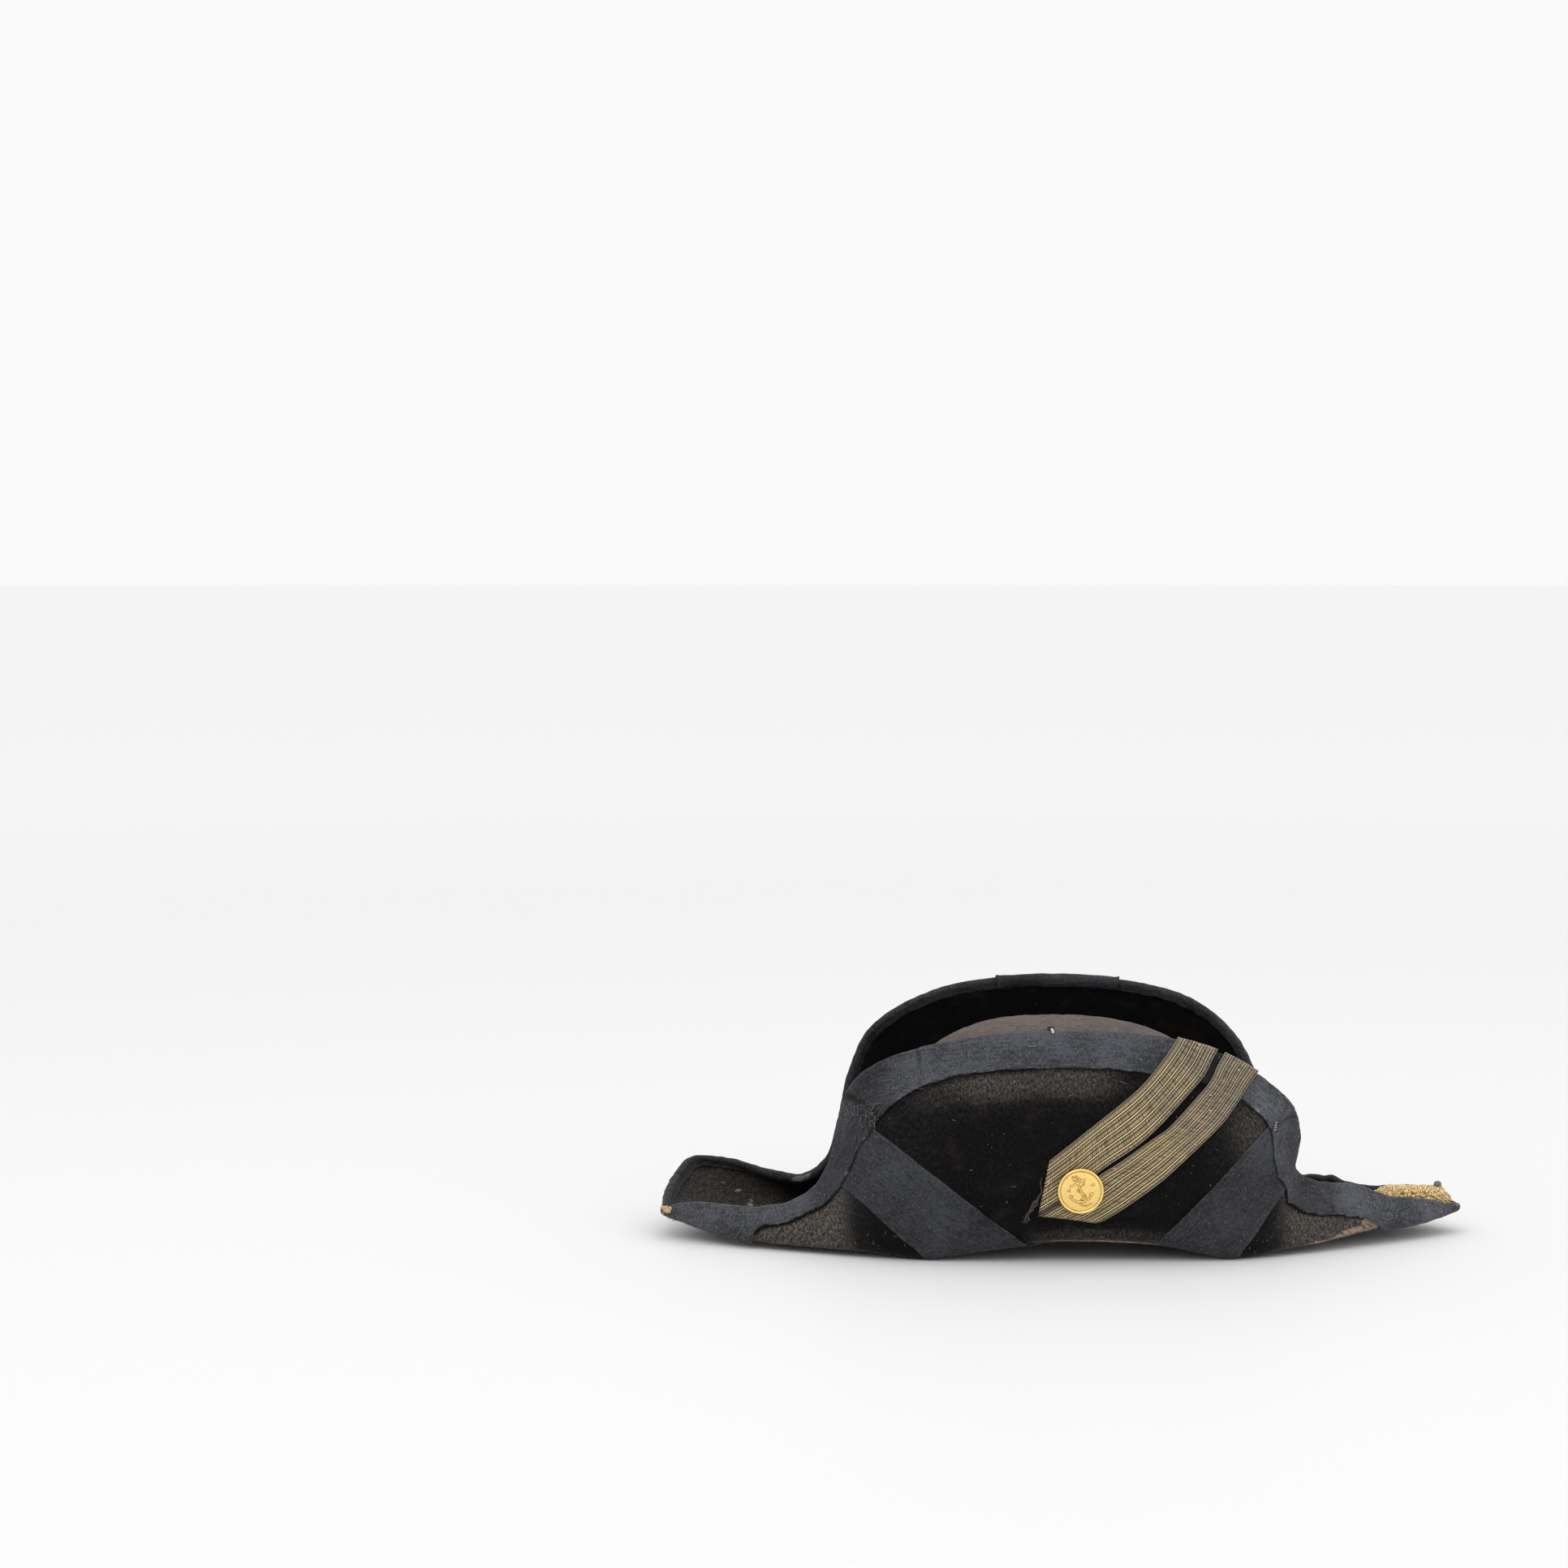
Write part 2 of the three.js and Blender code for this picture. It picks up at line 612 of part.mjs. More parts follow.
function stroke({ fromX, fromY, toX, toY, width }) {
  const length = Math.hypot(toX - fromX, toY - fromY);
  const bar = new THREE.BoxGeometry(length, width, RELIEF_TOP - RELIEF_FOOT);
  bar.rotateZ(Math.atan2(toY - fromY, toX - fromX));
  bar.translate((fromX + toX) / 2, (fromY + toY) / 2, (RELIEF_TOP + RELIEF_FOOT) / 2);
  return toSolid(bar);
}

function star({ x, y, radius }) {
  const points = [];
  for (let i = 0; i < 10; i++) {
    const reach = i % 2 ? STAR_WAIST * radius : radius;
    const angle = Math.PI / 2 + (Math.PI * i) / 5;
    points.push(new THREE.Vector2(x + reach * Math.cos(angle), y + reach * Math.sin(angle)));
  }
  const depth = RELIEF_TOP - RELIEF_FOOT - STAR_SINK;
  const geometry = new THREE.ExtrudeGeometry(new THREE.Shape(points), { depth, bevelEnabled: false });
  geometry.translate(0, 0, RELIEF_FOOT);
  return toSolid(geometry);
}

// The place on the right flap's wall with some x and z.
function wallPlace(x, z) {
  let low = 0;
  let high = 100;
  for (let i = 0; i < HALVINGS; i++) {
    const middle = (low + high) / 2;
    if (surfacePoint(sectionAt(x, RIGHT, middle), RIGHT, middle).z > z) low = middle;
    else high = middle;
  }
  return { u: sectionAt(x, RIGHT, low), depth: low };
}

function button() {
  const profile = BUTTON_PROFILE.map((row) => new THREE.Vector2(row.radius, row.rise));
  const lathe = new THREE.LatheGeometry(profile, BUTTON.sides);
  lathe.rotateX(Math.PI / 2);
  const ring = new THREE.TorusGeometry(ANCHOR_RING.radius, ANCHOR_RING.wire, 6, 14);
  ring.translate(ANCHOR_RING.x, ANCHOR_RING.y, RELIEF_TOP - 2 * ANCHOR_RING.wire);
  const raised = [...ANCHOR.map(stroke), ...STARS.map(star), toSolid(ring)];
  const solid = raised.reduce((whole, piece) => whole.add(piece), toSolid(lathe));
  const { u, depth } = wallPlace(BUTTON.x, BUTTON.height);
  const out = surfaceNormal(u, RIGHT, depth);
  const right = new THREE.Vector3(0, 0, 1).cross(out).normalize();
  const up = out.clone().cross(right);
  const back = surfacePoint(u, RIGHT, depth).addScaledVector(out, laceLift(u, depth, LACE) + GAP);
  const geometry = toGeometry(solid);
  geometry.applyMatrix4(new THREE.Matrix4().makeBasis(right, up, out).setPosition(back));
  return mainBody(toSolid(geometry));
}
addPiece("button", button(), gilt);

// ---------------------------------------------------------------- bullion
// Strands of a tassel: where each one starts, passes and ends.
const FRONT_STRANDS = table("x0 y0 z0 x1 y1 z1 x2 y2 z2", [
  [172, -14, 15.3, 188, -11, 15.2, 202, -4.5, 17.4],
  [169, -6, 15.5, 187, -4, 15.4, 203, -1, 17.6],
  [171, 3, 15.5, 188, 3.5, 15.4, 203, 2, 17.6],
  [174, 11, 15.3, 189, 11, 15.2, 202, 5, 17.5],
  [170, -10, 20.6, 187, -7.5, 21.2, 204, -2.5, 20.6],
  [168, -1.5, 20.8, 186, 0, 21.6, 205, 0, 21],
  [172, 7.5, 20.6, 188, 7.5, 21.2, 204, 3, 20.6],
]);
const REAR_STRANDS = table("x0 y0 z0 x1 y1 z1 x2 y2 z2", [
  [-209.4, -25.7, 17.8, -207.6, -26.1, 16.2, -206.2, -26.6, 14.4],
  [-207, -26.1, 18.2, -206.6, -26.5, 16.4, -206, -26.8, 14.4],
  [-204.6, -26.8, 17.8, -205.2, -26.9, 16.2, -205.9, -26.9, 14.4],
]);
const FRONT_HEAD = { x: 207, y: -0.5, z: 20.2, length: 5.5, width: 5, height: 4.6 };
const FRONT_KNOT = { x: 204.5, y: -1, z: 25.3, length: 2.2, width: 2.2, height: 2 };

function strand(row, radius) {
  const points = [0, 1, 2].map((i) => new THREE.Vector3(row[`x${i}`], row[`y${i}`], row[`z${i}`]));
  const path = new THREE.CatmullRomCurve3(points, false, "centripetal");
  const steps = Math.ceil(path.getLength() / BULLION.step);
  const frames = path.computeFrenetFrames(steps, false);
  const rings = [];
  for (let i = 0; i <= steps; i++) {
    const centre = path.getPointAt(i / steps);
    const taper = i === 0 || i === steps ? BULLION.taper : 1;
    rings.push(Array.from({ length: BULLION.sides }, (_, j) => {
      const angle = (2 * Math.PI * j) / BULLION.sides + BULLION.twist * i;
      const reach = radius * taper * (j % 2 ? 1 - BULLION.groove : 1);
      return centre.clone()
        .addScaledVector(frames.normals[i], reach * Math.cos(angle))
        .addScaledVector(frames.binormals[i], reach * Math.sin(angle));
    }));
  }
  return loft(rings);
}

function knob({ x, y, z, length, width, height }) {
  const geometry = new THREE.SphereGeometry(1, 10, 6);
  geometry.scale(length, width, height);
  geometry.translate(x, y, z);
  return toSolid(geometry);
}

const fused = (pieces) => mainBody(pieces.reduce((whole, piece) => whole.add(piece)));
const frontStrands = FRONT_STRANDS.map((row) => strand(row, BULLION.radius));
addPiece("front_tassel", fused([...frontStrands, knob(FRONT_HEAD), knob(FRONT_KNOT)]), bullion);
addPiece("rear_tassel", fused(REAR_STRANDS.map((row) => strand(row, BULLION.scrapRadius))), bullion);

// The origin is below the middle of the hat.
const middle = new THREE.Box3().setFromObject(group).getCenter(new THREE.Vector3());
for (const piece of group.children) piece.position.set(-middle.x, -middle.y, 0);

export default group;
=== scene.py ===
"""A naval bicorne: felt crown, upturned brim, ribbon binding, gold lace loop, gilt button and bullion.

Laid out as an add-on: sizes and colours are properties, and each piece has its own operator.
"""
import functools
import math

import bmesh
import bpy
import numpy as np
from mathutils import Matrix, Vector


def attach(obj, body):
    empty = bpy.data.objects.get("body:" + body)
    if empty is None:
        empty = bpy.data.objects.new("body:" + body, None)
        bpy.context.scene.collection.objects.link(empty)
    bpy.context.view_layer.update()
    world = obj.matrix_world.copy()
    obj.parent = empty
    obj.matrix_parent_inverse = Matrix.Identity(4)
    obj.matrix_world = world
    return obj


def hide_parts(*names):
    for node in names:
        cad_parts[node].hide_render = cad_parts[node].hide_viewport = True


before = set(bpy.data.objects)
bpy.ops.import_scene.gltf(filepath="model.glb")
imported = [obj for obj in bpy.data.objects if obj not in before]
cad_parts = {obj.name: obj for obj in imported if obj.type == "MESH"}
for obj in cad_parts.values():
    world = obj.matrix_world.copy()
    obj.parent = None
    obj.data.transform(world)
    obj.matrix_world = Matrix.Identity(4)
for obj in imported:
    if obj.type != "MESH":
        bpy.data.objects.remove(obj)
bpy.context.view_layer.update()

bl_info = {
    "name": "Naval Bicorne",
    "version": (1, 0, 0),
    "blender": (4, 5, 0),
    "location": "View3D > Sidebar > Bicorne",
    "description": "Builds a naval cocked hat piece by piece",
    "category": "Add Mesh",
}

MM = 0.001
RIGHT, LEFT = -1, 1
FLOOR = 0.0


# ---------------------------------------------------------------- the hat's leading lines, in millimetres
def table(columns, rows):
    """Rows of numbers as a dict of named arrays."""
    return dict(zip(columns.split(), np.array(rows, float).T))


TO_FRAME = np.array([-2.468, 0.142, 0.0])  # from the tables' origin to the middle of the hat

RIGHT_EDGE = table("x y z", [
    [-209, -23, 15.2], [-201, -27, 19], [-190, -34, 21], [-172, -42, 21], [-155, -47, 21.5], [-141, -49, 25],
    [-129, -50, 33], [-121, -52, 48], [-117, -55, 67], [-111, -60, 86], [-97, -66, 100], [-57, -73, 112.5],
    [-5, -76, 118], [52, -74, 114], [84, -70, 103.5], [108, -62.5, 87.5], [119.5, -57, 75], [122, -54, 63],
    [119.3, -51, 49], [124, -49, 38.5], [137, -48, 34.5], [153, -43, 33], [172, -32, 25], [196, -18, 20.5],
    [214.5, -7.5, 14.6],
])
LEFT_EDGE = table("x y z", [
    [-209.5, -16, 17], [-207.5, 6, 22.5], [-204, 22, 27], [-196, 38, 33], [-175, 48, 31], [-152, 54, 23.5],
    [-135, 57, 20.5], [-122, 58, 30], [-115, 60, 52], [-109, 65, 78], [-97, 71, 101], [-60, 80, 121],
    [-8, 87, 127.5], [48, 86, 124.5], [82, 80, 115], [104, 72, 97], [114.5, 65, 77], [121, 61, 57],
    [126, 58, 40], [133, 56, 27], [144, 54, 22], [158, 48, 21], [177, 38.5, 18.5], [198, 24, 20.5],
    [214.5, 2, 15],
])
FOLD = table("x right left z bulge", [
    [-207, -20.5, -17, 13.4, 0], [-200, -25, 1, 11.2, 0], [-190, -34, 19, 9, 1], [-174, -45, 35, 6, 1.5],
    [-155, -56, 50, 4, 2], [-134, -67, 64, 4, 3], [-117, -75, 74, 3.9, 5], [-103, -80, 80, 3.9, 7],
    [-91, -83, 84, 3, 9], [-82, -85, 86, 1.7, 10], [-73, -86.5, 88, 1.6, 10.5], [-50, -89, 91, 5.4, 11],
    [-4, -91, 93.5, 10.9, 11.5], [47, -90, 92, 9.6, 11], [70, -87.5, 89.5, 4.9, 10.5], [84, -85, 87, 1.6, 10],
    [92, -83, 85, 1.7, 9], [99, -81, 83, 2.6, 8], [106, -78.5, 80.5, 3.4, 6.5], [116, -74, 76, 4.2, 4.5],
    [129, -67, 69, 5, 3], [146, -56, 58, 7, 2], [167, -41, 43, 8.8, 1.5], [193, -22, 24, 9.2, 1],
    [213.5, -4.5, -0.5, 13.2, 0],
])
# The binding's lower edge on the outside of the right flap.
BINDING_LINE = table("x z", [
    [-167, 8], [-156, 11.4], [-141, 15], [-132, 19.5], [-124.3, 23.5], [-116, 32.8], [-108, 48.5],
    [-100.1, 64], [-91, 77], [-78.4, 86.6], [-58.7, 94], [-33.9, 97.4], [-9.1, 98.4], [24, 97.9],
    [41.9, 95.5], [66, 91.5], [88, 82], [100, 72.5], [104.5, 65], [105.5, 50.4], [107.3, 42], [111.8, 32.3],
    [118.5, 23.9], [126.3, 19.9], [138.9, 18.5], [148.4, 16.9], [157.8, 15.1], [165.8, 10.5],
])

FELT = 2.5
BINDING_BULK = 2.55  # how far the felt's edge lies inside the finished edge
CORNER = 7.0
FOOT = 19.0
KEEL_RISE = 2.5
CROWN = {"x": 1.0, "length": 202.0, "width": 168.0, "top": 115.5, "squareness": 2.65}
HOLE_GAP = 0.45
SKIN = {"binding": 1.7, "ribbon": 1.4, "lace": 1.35}  # where each layer starts, from the middle of the felt
RIBBON_WALL = 0.6
OUTERMOST = {RIGHT: SKIN["ribbon"] + RIBBON_WALL, LEFT: FELT / 2}


# ---------------------------------------------------------------- small sums on arrays of points
def unit(v):
    return v / np.maximum(np.linalg.norm(v, axis=-1, keepdims=True), 1e-9)


def dot(a, b):
    return np.sum(a * b, axis=-1, keepdims=True)


def smooth(low, high, value):
    k = np.clip((value - low) / (high - low), 0, 1)
    return k * k * (3 - 2 * k)


def mix(a, b, k):
    return a + (b - a) * k


def hump(value, middle, width):
    """1 at the middle, falling off smoothly to 0 on both sides."""
    return np.exp(-(((value - middle) / width) ** 2))


def steps(count):
    """Even shares from 0 up to the last one before 1."""
    return np.linspace(0, 1, count + 1)[:-1]


def bend(a, control, b, k):
    """A place on an arc from a to b that leans towards a control point."""
    return a * (1 - k) ** 2 + control * 2 * k * (1 - k) + b * k**2


def running(points):
    """How far along a line of points each of them is."""
    return np.concatenate([[0], np.cumsum(np.linalg.norm(np.diff(points, axis=0), axis=1))])


def there_and_back(values, pick=slice(None)):
    """Values across a band's outer skin, then those of the picked columns back across its inner one."""
    return np.concatenate([values, values[:, pick][:, ::-1]], 1)


def catmull(points, shares):
    """A centripetal spline through points, at shares of the way from the first to the last."""
    p = np.asarray(points, float)
    ends = np.vstack([2 * p[0] - p[1], p, 2 * p[-1] - p[-2]])
    place = np.clip(shares, 0, 1) * (len(p) - 1)
    i = np.minimum(place.astype(int), len(p) - 2)
    w = (place - i)[:, None]
    a, b, c, d = (ends[i + n] for n in range(4))
    pairs = ((a, b), (b, c), (c, d))
    gap = [np.maximum(np.sum((m - n) ** 2, axis=1, keepdims=True) ** 0.25, 1e-4) for m, n in pairs]
    t1 = ((b - a) / gap[0] - (c - a) / (gap[0] + gap[1]) + (c - b) / gap[1]) * gap[1]
    t2 = ((c - b) / gap[1] - (d - b) / (gap[1] + gap[2]) + (d - c) / gap[2]) * gap[1]
    return b + t1 * w + (3 * (c - b) - 2 * t1 - t2) * w**2 + (2 * (b - c) + t1 + t2) * w**3


def ripple(points, pitch, seed, waves=7):
    """Smooth irregular waves between about -1 and 1, of roughly some pitch."""
    rng = np.random.default_rng(seed)
    p = np.asarray(points, float)
    way = unit(rng.normal(size=(waves, p.shape[-1]))) / rng.uniform(0.7, 1.5, (waves, 1))
    phase = rng.uniform(0, 2 * np.pi, waves)
    return np.sin(p @ way.T * (2 * np.pi / pitch) + phase).sum(-1) / waves**0.5 * 0.8


# ---------------------------------------------------------------- the brim's middle surface
EDGE = {RIGHT: RIGHT_EDGE, LEFT: LEFT_EDGE}
LEFT_DROP = 1.25 * (1 - smooth(3, 10, FOLD["z"]))
FOLD_LINE = {
    RIGHT: np.stack([FOLD["x"], FOLD["right"], FOLD["z"]], 1),
    LEFT: np.stack([FOLD["x"], FOLD["left"], FOLD["z"] - LEFT_DROP], 1),
}


# How the left flap's edge waves beside the front peak, by share of its length.
LEFT_WAVE = table("share rise", [
    [0.0, 0.0], [0.775, 0.0], [0.79, -1.2], [0.806, -3.0], [0.823, -2.6], [0.838, -0.4], [0.846, 0.1],
    [0.856, -0.4], [0.865, 0.9], [0.872, 0.4], [0.881, -1.5], [0.892, -1.4], [0.905, -1.1], [0.925, 0.0],
    [1.0, 0.0],
])
WAVE_EASE = 9  # sections over which the corners of that wave are rounded


class Flap:
    """Half of the brim: points and normals by share of the hat's length and by depth below the free edge."""

    ROWS = 901
    STEP = 0.5
    WALL, TURN, FLOOR, KEEL = 48, 16, 4, 16  # steps down the wall, round the fold, and in to the keel
    SPARE = 12  # how far the grid runs on past the keel
    X_ROUNDS, Z_ROUNDS = 24, 30  # rounds in which a place is found
    X_STEP, Z_STEP = 1 / 900, 0.8  # how much of a miss each round makes good

    def __init__(self, side):
        self.side = side
        self.us = us = np.linspace(0, 1, self.ROWS)
        line = np.stack([EDGE[side][k] for k in "xyz"], 1)
        edge, fold, other = catmull(line, us), catmull(FOLD_LINE[side], us), catmull(FOLD_LINE[-side], us)
        if side == LEFT:
            wave = np.pad(np.interp(us, LEFT_WAVE["share"], LEFT_WAVE["rise"]), WAVE_EASE // 2, "edge")
            edge[:, 2] += np.convolve(wave, np.ones(WAVE_EASE) / WAVE_EASE, "valid")
        tangent = unit(np.gradient(edge, axis=0))
        inward = fold - edge
        inward = unit(inward - dot(inward, tangent) * tangent)
        line = self.sections(edge + inward * BINDING_BULK, fold, (fold + other) / 2)
        lengths = np.linalg.norm(np.diff(line, axis=1), axis=2)
        sums = np.concatenate([np.zeros((self.ROWS, 1)), np.cumsum(lengths, 1)], 1)
        self.keel_depth = sums[:, -1]
        self.fold_depth = sums[:, self.WALL + self.TURN // 2]
        self.points = grid = self.even(line, sums)
        along, down = np.gradient(grid, axis=0), np.gradient(grid, axis=1)
        self.normals = unit(np.cross(down, along)) * -side
        self.edge_length = running(grid[:, 0])
        tangent = unit(np.gradient(grid[:, 0], axis=0))
        self.beyond = unit(np.cross(self.normals[:, 0], tangent)) * -side

    def sections(self, edge, fold, keel):
        """Cross sections from the free edge down the bulging wall, round the fold and in to the keel."""
        across = keel - fold
        span = np.linalg.norm(across, axis=1, keepdims=True)
        foot = fold + across * np.minimum(FOOT / span, 0.6)
        foot[:, 2] = fold[:, 2]
        keel[:, 2:] += KEEL_RISE * smooth(8, 60, span)
        middle = (edge + fold) / 2
        middle[:, 1] += self.side * catmull(np.stack([FOLD["x"], FOLD["bulge"]], 1), self.us)[:, 1]
        height = np.linalg.norm(edge - fold, axis=1, keepdims=True)
        start = fold + unit(middle - fold) * np.minimum(CORNER, 0.22 * height)
        end = fold + unit(foot - fold) * np.minimum(CORNER, 0.4 * span)
        control = 2 * middle - (edge + start) / 2
        rows = [bend(edge, control, start, k) for k in steps(self.WALL)]
        rows += [bend(start, fold, end, k) for k in steps(self.TURN)]
        rows += [mix(end, foot, k) for k in steps(self.FLOOR)]
        rows += [mix(foot, keel, k) for k in np.linspace(0, 1, self.KEEL + 1)]
        return np.stack(rows, 1)

    def even(self, line, sums):
        """The cross sections laid out again at even depths, and straight on past the keel."""
        depths = np.arange(0, self.keel_depth.max() + self.SPARE, self.STEP)
        self.deepest = depths[-1]
        last = unit(line[:, -1] - line[:, -2])
        grid = np.empty((self.ROWS, len(depths), 3))
        for i in range(self.ROWS):
            for c in range(3):
                grid[i, :, c] = np.interp(depths, sums[i], line[i, :, c])
            grid[i] += last[i] * np.maximum(depths - sums[i, -1], 0)[:, None]
        return grid

    def look(self, grid, u, depth):
        a = np.clip(u, 0, 1) * (self.ROWS - 1)
        i = np.minimum(a.astype(int), self.ROWS - 2)
        b = np.clip(depth, 0, self.deepest - self.STEP) / self.STEP
        j = np.minimum(b.astype(int), grid.shape[1] - 2)
        fa, fb = (a - i)[..., None], (b - j)[..., None]
        return mix(mix(grid[i, j], grid[i, j + 1], fb), mix(grid[i + 1, j], grid[i + 1, j + 1], fb), fa)

    def on(self, u, depth, lift):
        """Places at a height over the middle of the felt, flattened where the outermost layer rests."""
        u, depth, lift = np.broadcast_arrays(*np.atleast_1d(u, depth, lift))
        p = self.look(self.points, u, depth) + unit(self.look(self.normals, u, depth)) * lift[..., None]
        p[..., 2] = np.maximum(p[..., 2], OUTERMOST[self.side] - lift)
        return p

    def row(self, values, u):
        return np.interp(u, self.us, values)

    def rows3(self, values, u):
        return np.stack([np.interp(u, self.us, values[:, c]) for c in range(3)], -1)

    def wrap(self, u, w, lift, turn=None):
        """Places round the free edge: w counts from the crest, down the outside, or below 0 down the inside.

        turn is the length of the quarter turn that w was laid out with.
        """
        u, w, lift = np.broadcast_arrays(*np.atleast_1d(u, w, lift))
        quarter = lift * np.pi / 2
        if turn is not None:
            w = np.where(np.abs(w) > turn, np.sign(w) * (np.abs(w) - turn + quarter), w * quarter / turn)
        flat = self.on(u, np.maximum(np.abs(w) - quarter, 0), lift * np.where(w < 0, -1, 1))
        angle = np.clip(w / lift, -np.pi / 2, np.pi / 2)[..., None]
        beyond, normal = unit(self.rows3(self.beyond, u)), unit(self.rows3(self.normals[:, 0], u))
        out = np.cos(angle) * beyond + np.sin(angle) * normal
        turned = self.rows3(self.points[:, 0], u) + lift[..., None] * out
        return np.where((np.abs(w) < quarter)[..., None], turned, flat)

    def find(self, x, height):
        """The share and depth of places with some x, at a height along the surface above the fold."""
        x, height = np.broadcast_arrays(*np.atleast_1d(np.asarray(x, float), np.asarray(height, float)))
        u = np.interp(x, FOLD["x"], np.linspace(0, 1, len(FOLD["x"])))
        for _ in range(self.X_ROUNDS):
            depth = self.row(self.fold_depth, u) - height
            here = self.look(self.points, u, depth)[..., 0]
            u = np.clip(u + (x - here) * self.X_STEP, 0, 1)
        return u, self.row(self.fold_depth, u) - height

    def find_z(self, x, z):
        """The share and depth of places on the wall with some x and z."""
        x, z = (np.asarray(v, float) for v in (x, z))
        height = z - np.interp(x, FOLD["x"], FOLD["z"])
        for _ in range(self.Z_ROUNDS):
            u, depth = self.find(x, height)
            height = height + self.Z_STEP * (z - self.look(self.points, u, depth)[..., 2])
        return u, depth


FLAPS = {side: Flap(side) for side in (RIGHT, LEFT)}
NEAR = FLAPS[RIGHT]
FAR = FLAPS[LEFT]


# ---------------------------------------------------------------- meshes
def grid_faces(rows, columns, offset=0, close_rows=False, close_columns=False):
    """Quads over a grid of vertices that is counted row by row."""
    i = np.arange(rows if close_rows else rows - 1)
    j = np.arange(columns if close_columns else columns - 1)
    i, j = (v.ravel() for v in np.meshgrid(i, j, indexing="ij"))
    n, m = (i + 1) % rows, (j + 1) % columns
    return np.stack([i * columns + j, i * columns + m, n * columns + m, n * columns + j], 1) + offset


def piece(name, points, faces, material, node=None, slot=None, extra=None, merge=0.0, **fields):
    """A smooth mesh piece from points in table millimetres, riding on the hat."""
    mesh = bpy.data.meshes.new(name)
    co = (np.asarray(points, float).reshape(-1, 3) + TO_FRAME) * MM
    quads = [tuple(dict.fromkeys(f)) for f in np.asarray(faces).tolist()]
    quads = [f for f in quads if len(f) > 2] + list(extra or [])
    mesh.from_pydata(co.tolist(), [], quads)
    for key, values in fields.items():
        values = np.asarray(values, float).reshape(len(co), -1)
        kind = "FLOAT_VECTOR" if values.shape[1] == 3 else "FLOAT"
        layer = mesh.attributes.new(key, kind, "POINT")
        slot_name = "vector" if kind == "FLOAT_VECTOR" else "value"
        layer.data.foreach_set(slot_name, values.ravel().astype(np.float32))
    work = bmesh.new()
    work.from_mesh(mesh)
    if merge:
        bmesh.ops.remove_doubles(work, verts=work.verts, dist=merge * MM)
    bmesh.ops.dissolve_degenerate(work, edges=work.edges, dist=1e-7)
    bmesh.ops.recalc_face_normals(work, faces=work.faces)
    work.to_mesh(mesh)
    work.free()
    mesh.shade_smooth()
    mesh.update()
    made = bpy.data.objects.new(name, mesh)
    bpy.context.scene.collection.objects.link(made)
    made.data.materials.append(material)
    if node:
        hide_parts(*np.atleast_1d(node).tolist())
    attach(made, "root")
    return made


def shell(outer, inner, pick=None):
    """Points and faces of a closed sheet between two grids of the same rows.

    The inner grid may hold only the outer one's picked columns.
    """
    rows, columns = outer.shape[:2]
    pick = np.arange(columns) if pick is None else pick
    ring = np.concatenate([outer, inner[:, ::-1]], axis=1)
    width = columns + len(pick)
    faces = grid_faces(rows, width, close_columns=True)
    caps = []
    for base in (0, (rows - 1) * width):
        for n in range(len(pick) - 1):
            top = [base + k for k in range(pick[n], pick[n + 1] + 1)]
            caps.append(tuple(top + [base + width - 2 - n, base + width - 1 - n]))
    return ring, faces, caps


def threads(paths, radius, sides=5, taper=0.5, groove=0.0, pitch=1.0):
    """Points, faces and coordinates of round threads along lists of points, coiled if given a groove."""
    points, faces, fields, count = [], [], [], 0
    angle = np.linspace(0, 2 * np.pi, sides, endpoint=False)[None, :]
    for n, path in enumerate(paths):
        path = np.asarray(path, float)
        tangent = unit(np.gradient(path, axis=0))
        helper = np.where(np.abs(tangent[:1, 2:]) < 0.8, [[0.0, 0.0, 1.0]], [[1.0, 0.0, 0.0]])
        side = unit(np.cross(tangent, np.broadcast_to(helper, path.shape)))
        up = np.cross(side, tangent)
        run = running(path)
        share = run / max(run[-1], 1e-6)
        size = np.atleast_1d(radius[n] if np.ndim(radius) else radius)
        reach = size * (1 - taper * np.abs(2 * share - 1) ** 6)
        wave = 1 + groove * np.sin(2 * np.pi * run[:, None] / pitch - angle)
        out = np.cos(angle)[..., None] * side[:, None] + np.sin(angle)[..., None] * up[:, None]
        ring = path[:, None] + (reach[:, None] * wave)[..., None] * out
        points.append(ring.reshape(-1, 3))
        faces.append(grid_faces(len(path), sides, count, close_columns=True))
        for base in (0, len(path) - 1):
            corners = count + base * sides + np.arange(sides)
            for k in range(1, sides - 1, 2):
                quad = [corners[0], corners[k], corners[k + 1], corners[min(k + 2, sides - 1)]]
                faces.append(np.array([quad]))
        where = np.stack(np.broadcast_arrays(run[:, None] * MM, angle, n * 0.37), -1)
        fields.append(where.reshape(-1, 3))
        count += len(path) * sides
    return np.concatenate(points), np.concatenate(faces), np.concatenate(fields)


def thread_piece(name, paths, radius, material, slot="ribbon", node=None, **look):
    """A piece made of round threads."""
    points, faces, weave = threads(paths, radius, **look)
    return piece(name, points, faces, material, node, slot, weave=weave)


def thread_knot(middle, size, turns, tilt, count):
    """Rings of thread that lie round one place, each tilted further than the last."""
    turn = np.linspace(0, 2 * np.pi, count)
    rings = []
    for lean in tilt * np.arange(turns):
        ring = np.stack([np.cos(turn), np.sin(turn) * np.cos(lean), np.sin(turn) * np.sin(lean)], 1)
        rings.append(np.array(middle) + ring * size)
    return rings


def stray_wire(rng, start, low, high, count, sway):
    """A short bent wire from a place, to somewhere between two limits from it."""
    t = np.linspace(0, 1, count)[:, None]
    reach = t * rng.uniform(low, high)
    curve = sway * np.sin(t * rng.uniform(3, 9))
    return start + reach + curve * rng.uniform(-1, 1, 3)


# ---------------------------------------------------------------- materials
def linear(colour):
    """Linear values of a colour given as 0 to 255."""
    c = np.array(colour, float) / 255
    return (*np.where(c <= 0.04045, c / 12.92, ((c + 0.055) / 1.055) ** 2.4).tolist(), 1.0)


